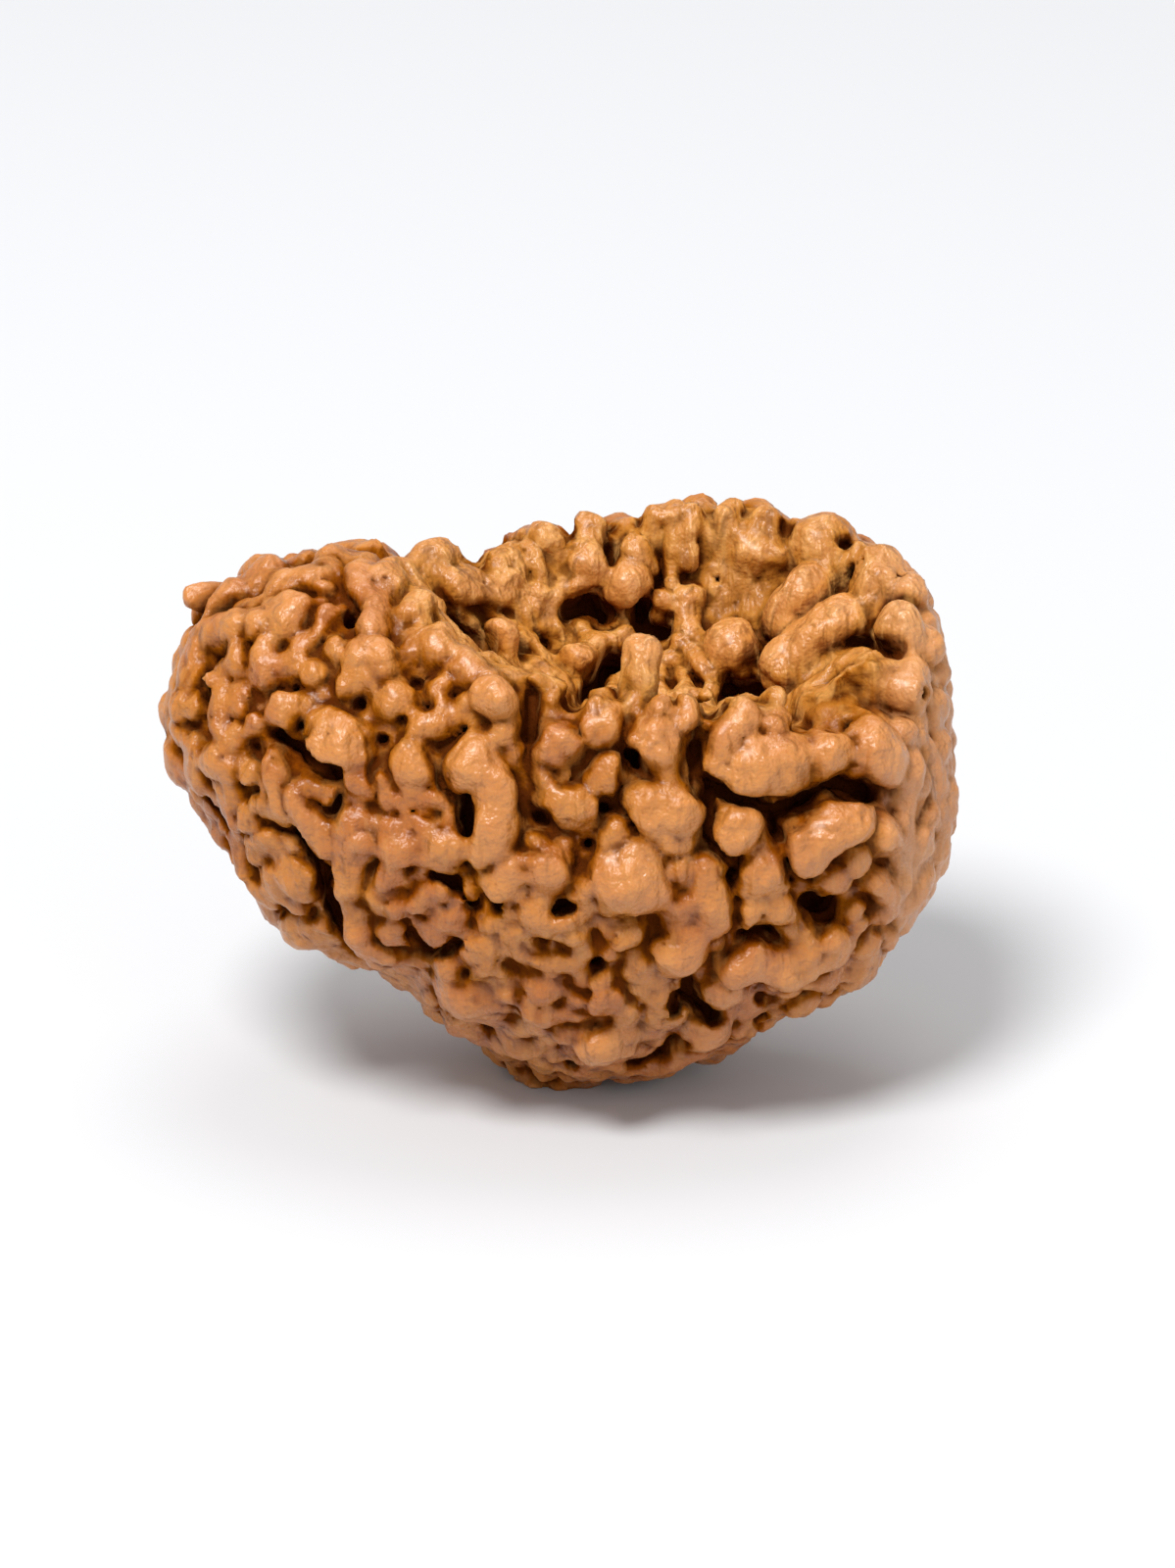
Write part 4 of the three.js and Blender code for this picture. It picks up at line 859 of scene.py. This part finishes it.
def add_seed():
    """Makes the seed's piece, and gives how far it is moved to lie where the solid does."""
    grid = Grid(seed_rods())
    points, quads = largest_body(*net_mesh(grid))
    points = evened(points, quads, grid)
    normals = unit(grid.slopes(points))
    knob_height = bare_value(points)
    facts = {
        "open_near": openness(grid, points, normals, NEAR_REACHES),
        "open_far": openness(grid, points, normals, FAR_REACHES),
        "crease": np.clip(-grid.bends(points, CREASE_REACH) / CREASE_BEND, 0, 1),
        "swell": np.clip(grid.bends(points, SWELL_REACH) / SWELL_BEND, 0, 1),
        "knob_foot": 1 - smoothstep(*KNOB_FOOT_BAND, knob_height),
        "knob_height": knob_height,
        "hollow": 1 - smoothstep(*IN_HOLLOW_BAND, hollow_distance(*points.T)),
        "flank": smoothstep(*FLANK_BAND, points[:, 0]),
    }
    points = points + normals * relief(points)[:, None]
    points[:, 2] = np.maximum(points[:, 2], 0)
    box_middle = (points.min(axis=0) + points.max(axis=0)) / 2
    cad_middle = (np.array(cad_box[0]) + np.array(cad_box[1])) / 2
    shift = np.array([*(cad_middle[:2] - MM * box_middle[:2]), 0])
    mesh = bpy.data.meshes.new("seed_skin")
    mesh.from_pydata((MM * points + shift).tolist(), [], quads.tolist())
    mesh.shade_smooth()
    for name, values in facts.items():
        mesh.attributes.new(name, "FLOAT", "POINT").data.foreach_set("value", values)
    mesh.materials.append(stone_material())
    piece = bpy.data.objects.new("seed_skin", mesh)
    bpy.context.scene.collection.objects.link(piece)
    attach(piece, "root")
    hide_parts("seed")
    return shift


def linear(red, green, blue):
    """A colour given in 0 to 255 as a screen shows it."""
    parts = []
    for part in (red, green, blue):
        part = part / 255
        parts.append(part / 12.92 if part <= 0.04045 else ((part + 0.055) / 1.055) ** 2.4)
    return (*parts, 1)


class Nodes:
    """Short calls for a material's nodes."""

    def __init__(self, tree):
        self.tree = tree

    def add(self, kind, inputs=None, **settings):
        node = self.tree.nodes.new("ShaderNode" + kind)
        for name, value in settings.items():
            setattr(node, name, value)
        for name, value in (inputs or {}).items():
            self.put(node.inputs[name], value)
        return node

    def put(self, socket, value):
        if isinstance(value, bpy.types.NodeSocket):
            self.tree.links.new(value, socket)
        else:
            socket.default_value = value

    def attribute(self, name):
        return self.add("Attribute", attribute_name=name).outputs["Fac"]

    def math(self, operation, *values, clamp=False):
        node = self.add("Math", operation=operation, use_clamp=clamp)
        for socket, value in zip(node.inputs, values):
            self.put(socket, value)
        return node.outputs[0]

    def total(self, *terms):
        """The sum of values, each given with what it is multiplied by."""
        total = 0.0
        for value, share in terms:
            total = self.math("MULTIPLY_ADD", value, share, total)
        return total

    def band(self, value, low, high, to_low=0.0, to_high=1.0):
        """A soft step from `to_low` to `to_high` as the value goes from `low` to `high`."""
        inputs = {
            "Value": value, "From Min": low, "From Max": high,
            "To Min": to_low, "To Max": to_high,
        }
        return self.add("MapRange", inputs, interpolation_type="SMOOTHSTEP").outputs["Result"]

    def mix(self, share, a, b, blend_type="MIX"):
        node = self.add("Mix", data_type="RGBA", blend_type=blend_type)
        self.put(node.inputs["Factor"], share)
        for socket, value in zip([s for s in node.inputs if s.type == "RGBA"], (a, b)):
            self.put(socket, value)
        return [s for s in node.outputs if s.type == "RGBA"][0]

    def stretched(self, place, scale):
        return self.add("Mapping", {"Vector": place, "Scale": scale}).outputs["Vector"]

    def noise(self, place, scale, detail, distortion=0.0):
        inputs = {
            "Vector": place, "Scale": scale, "Detail": detail,
            "Roughness": NOISE_ROUGHNESS, "Distortion": distortion,
        }
        return self.add("TexNoise", inputs).outputs["Fac"]

    def ramp(self, value, stops):
        node = self.add("ValToRGB", {"Fac": value})
        elements = node.color_ramp.elements
        while len(elements) < len(stops):
            elements.new(0.5)
        for element, (position, colour) in zip(elements, stops):
            element.position = position
            element.color = colour
        return node.outputs["Color"]


# The stone's tan with painted shade, from dark at the foot of a pit up to the bare tan on an open
# swell, and what goes over it.
STONE_AND_SHADE_STOPS = [
    (0.0, linear(62, 27, 6)),
    (0.14, linear(90, 42, 8)),
    (0.3, linear(110, 55, 8)),
    (0.5, linear(128, 67, 7)),
    (0.72, linear(148, 82, 11)),
    (1.0, linear(180, 109, 31)),
]
OCHRE = linear(194, 130, 54)
REDDISH = linear(200, 130, 90)
# Partly the tops' rosy tone and partly a painted highlight.
ROSY_HIGHLIGHT = linear(208, 139, 77)
# A painted reflection of grazing light on the right flank.
FLANK_SHEEN = linear(208, 148, 96)
FIBRE_PALE = linear(212, 152, 82)
# Painted shade deep in the pits.
PIT_SHADE = linear(86, 38, 9)
# Brown for dark fibres, and painted shade in the creases.
FIBRE_AND_SHADE_BROWN = linear(84, 38, 7)
FLOOR_PALE = linear(208, 209, 211)


def stone_material():
    material = bpy.data.materials.new("seed_stone")
    material.use_nodes = True
    tree = material.node_tree
    tree.nodes.clear()
    nodes = Nodes(tree)
    crease, swell = nodes.attribute("crease"), nodes.attribute("swell")
    knob_foot, knob_height = nodes.attribute("knob_foot"), nodes.attribute("knob_height")
    hollow, flank = nodes.attribute("hollow"), nodes.attribute("flank")
    depth = nodes.total((nodes.attribute("open_near"), 0.55), (nodes.attribute("open_far"), 0.45))

    # Places in millimetres, and two that make a pattern run up and down the seed.
    place = nodes.stretched(nodes.add("TexCoord").outputs["Object"], (1 / MM,) * 3)
    strands = nodes.stretched(place, (1.0, 1.0, 0.28))
    long_way = nodes.stretched(place, (1.0, 1.0, 0.16))
    patches = nodes.noise(place, 0.32, 2.0)
    mottle = nodes.noise(place, 1.5, 4.0, distortion=0.6)
    grain = nodes.noise(strands, 5.0, 4.0, distortion=0.8)
    fine = nodes.noise(place, 2.8, 2.0)
    fibres = nodes.noise(long_way, 1.8, 2.0, distortion=0.3)
    folds = nodes.noise(strands, 1.35, 1.0, distortion=0.4)

    # The stone's brown with painted shade by depth, darker where the surface is less open, stirred
    # by its mottling, with painted shade in creases and at the feet of knobs, and swells lighter,
    # partly by wear and partly as a painted highlight.
    mottle_and_shade = nodes.total(
        (nodes.math("SUBTRACT", mottle, 0.5), 0.55),
        (nodes.math("SUBTRACT", grain, 0.5), 0.4),
        (crease, -0.5), (swell, 0.12), (knob_foot, -0.1),
    )
    # Painted shade: the ramp darkens the colour the less open the surface is round it.
    colour = nodes.ramp(nodes.math("ADD", depth, mottle_and_shade, clamp=True), STONE_AND_SHADE_STOPS)
    colour = nodes.mix(nodes.band(patches, 0.42, 0.62, 0.0, 0.35), colour, REDDISH, "MULTIPLY")

    # Ochre with pale and dark fibres in the hollow, which are faint elsewhere.
    in_hollow = nodes.math("MULTIPLY", hollow, nodes.band(depth, 0.3, 0.7, 0.0, 0.6))
    colour = nodes.mix(in_hollow, colour, OCHRE)
    fibre_share = nodes.math("MULTIPLY_ADD", hollow, 0.75, 0.25)
    light = nodes.math("MULTIPLY", fibre_share, nodes.band(fibres, 0.48, 0.64, 0.0, 0.6))
    dark = nodes.math("MULTIPLY", fibre_share, nodes.band(fibres, 0.44, 0.3, 0.0, 0.35))
    colour = nodes.mix(light, colour, FIBRE_PALE)
    colour = nodes.mix(dark, colour, FIBRE_AND_SHADE_BROWN)

    # Rosy knob tops, partly their own tone and partly a painted highlight, painted shade in the
    # creases, a painted reflection on the right flank and near black painted shade in the pits.
    # Partly the tops' rosy tone and partly a painted highlight, lighter the higher a knob stands.
    colour = nodes.mix(nodes.band(knob_height, 0.4, 0.95, 0.0, 0.45), colour, ROSY_HIGHLIGHT)
    # Painted shade in the creases.
    crease_shade = nodes.band(crease, 0.1, 0.8, 0.0, 0.65)
    colour = nodes.mix(crease_shade, colour, FIBRE_AND_SHADE_BROWN)
    # A painted reflection: the open right flank is paler.
    flank_sheen = nodes.math(
        "MULTIPLY", nodes.band(flank, 0.0, 1.0, 0.0, 0.55), nodes.band(depth, 0.2, 0.7)
    )
    colour = nodes.mix(flank_sheen, colour, FLANK_SHEEN)
    # Painted shade in the pits: near black the deeper they go below the body.
    pit_shade = nodes.band(nodes.math("ADD", knob_height, mottle_and_shade), -0.2, -0.9)
    colour = nodes.mix(pit_shade, colour, PIT_SHADE)

    # The open tops shine a little, with a low relief of folds and fibres.
    shine = nodes.math("SUBTRACT", nodes.band(depth, 0.6, 1.0), crease_shade, clamp=True)
    height = nodes.total(
        (folds, 0.8), (fine, 0.28), (grain, 0.05),
        (nodes.math("MULTIPLY", fibres, fibre_share), 0.8),
    )
    bump = nodes.add("Bump", {"Height": height, "Distance": 0.5 * MM, "Strength": 1.0})
    inputs = {
        "Base Color": colour,
        "Roughness": nodes.band(mottle, 0.3, 0.7, 0.32, 0.46),
        "Normal": bump.outputs["Normal"],
        "Subsurface Weight": 0.1,
        "Subsurface Radius": (1.0, 0.45, 0.2),
        "Subsurface Scale": 0.6 * MM,
        "Specular IOR Level": nodes.math("MULTIPLY", shine, 0.52),
        "Coat Weight": nodes.math("MULTIPLY", shine, 0.28),
        "Coat Roughness": 0.25,
    }
    shader = nodes.add("BsdfPrincipled", inputs)
    output = nodes.add("OutputMaterial")
    tree.links.new(shader.outputs["BSDF"], output.inputs["Surface"])
    return material


def add_floor():
    mesh = bpy.data.meshes.new("floor")
    corners = [(a * FLOOR_HALF, b * FLOOR_HALF, 0) for a, b in ((-1, -1), (1, -1), (1, 1), (-1, 1))]
    mesh.from_pydata(corners, [], [(0, 1, 2, 3)])
    floor = bpy.data.objects.new("floor", mesh)
    bpy.context.scene.collection.objects.link(floor)
    material = bpy.data.materials.new("floor")
    material.use_nodes = True
    shader = material.node_tree.nodes["Principled BSDF"]
    shader.inputs["Base Color"].default_value = FLOOR_PALE
    shader.inputs["Roughness"].default_value = FLOOR_ROUGHNESS
    shader.inputs["Specular IOR Level"].default_value = 0.0
    mesh.materials.append(material)


def aim(item, target):
    item.rotation_euler = (Vector(target) - item.location).to_track_quat("-Z", "Y").to_euler()


def add_light(name, place, size, power, target):
    light = bpy.data.lights.new(name, "AREA")
    light.shape = "DISK"
    light.size = size
    light.energy = power
    item = bpy.data.objects.new(name, light)
    item.location = place
    aim(item, target)
    bpy.context.scene.collection.objects.link(item)


def add_camera(target):
    camera = bpy.data.cameras.new("camera")
    camera.lens = CAMERA_LENS
    camera.clip_start = NEAREST_SEEN
    item = bpy.data.objects.new("camera", camera)
    item.location = Vector(target) - CAMERA_DISTANCE * Vector(AWAY)
    aim(item, target)
    bpy.context.scene.collection.objects.link(item)
    bpy.context.scene.camera = item


def add_world():
    world = bpy.data.worlds.new("studio")
    world.use_nodes = True
    background = world.node_tree.nodes["Background"]
    background.inputs["Color"].default_value = WORLD_COLOUR
    background.inputs["Strength"].default_value = WORLD_STRENGTH
    bpy.context.scene.world = world


seed_shift = add_seed()
target = MM * (FACE_MIDDLE + face_vector(*AIM)) + seed_shift
add_floor()
add_camera(target)
add_world()
for light in LIGHTS:
    add_light(*light, target)
bpy.context.scene.view_settings.view_transform = "Standard"
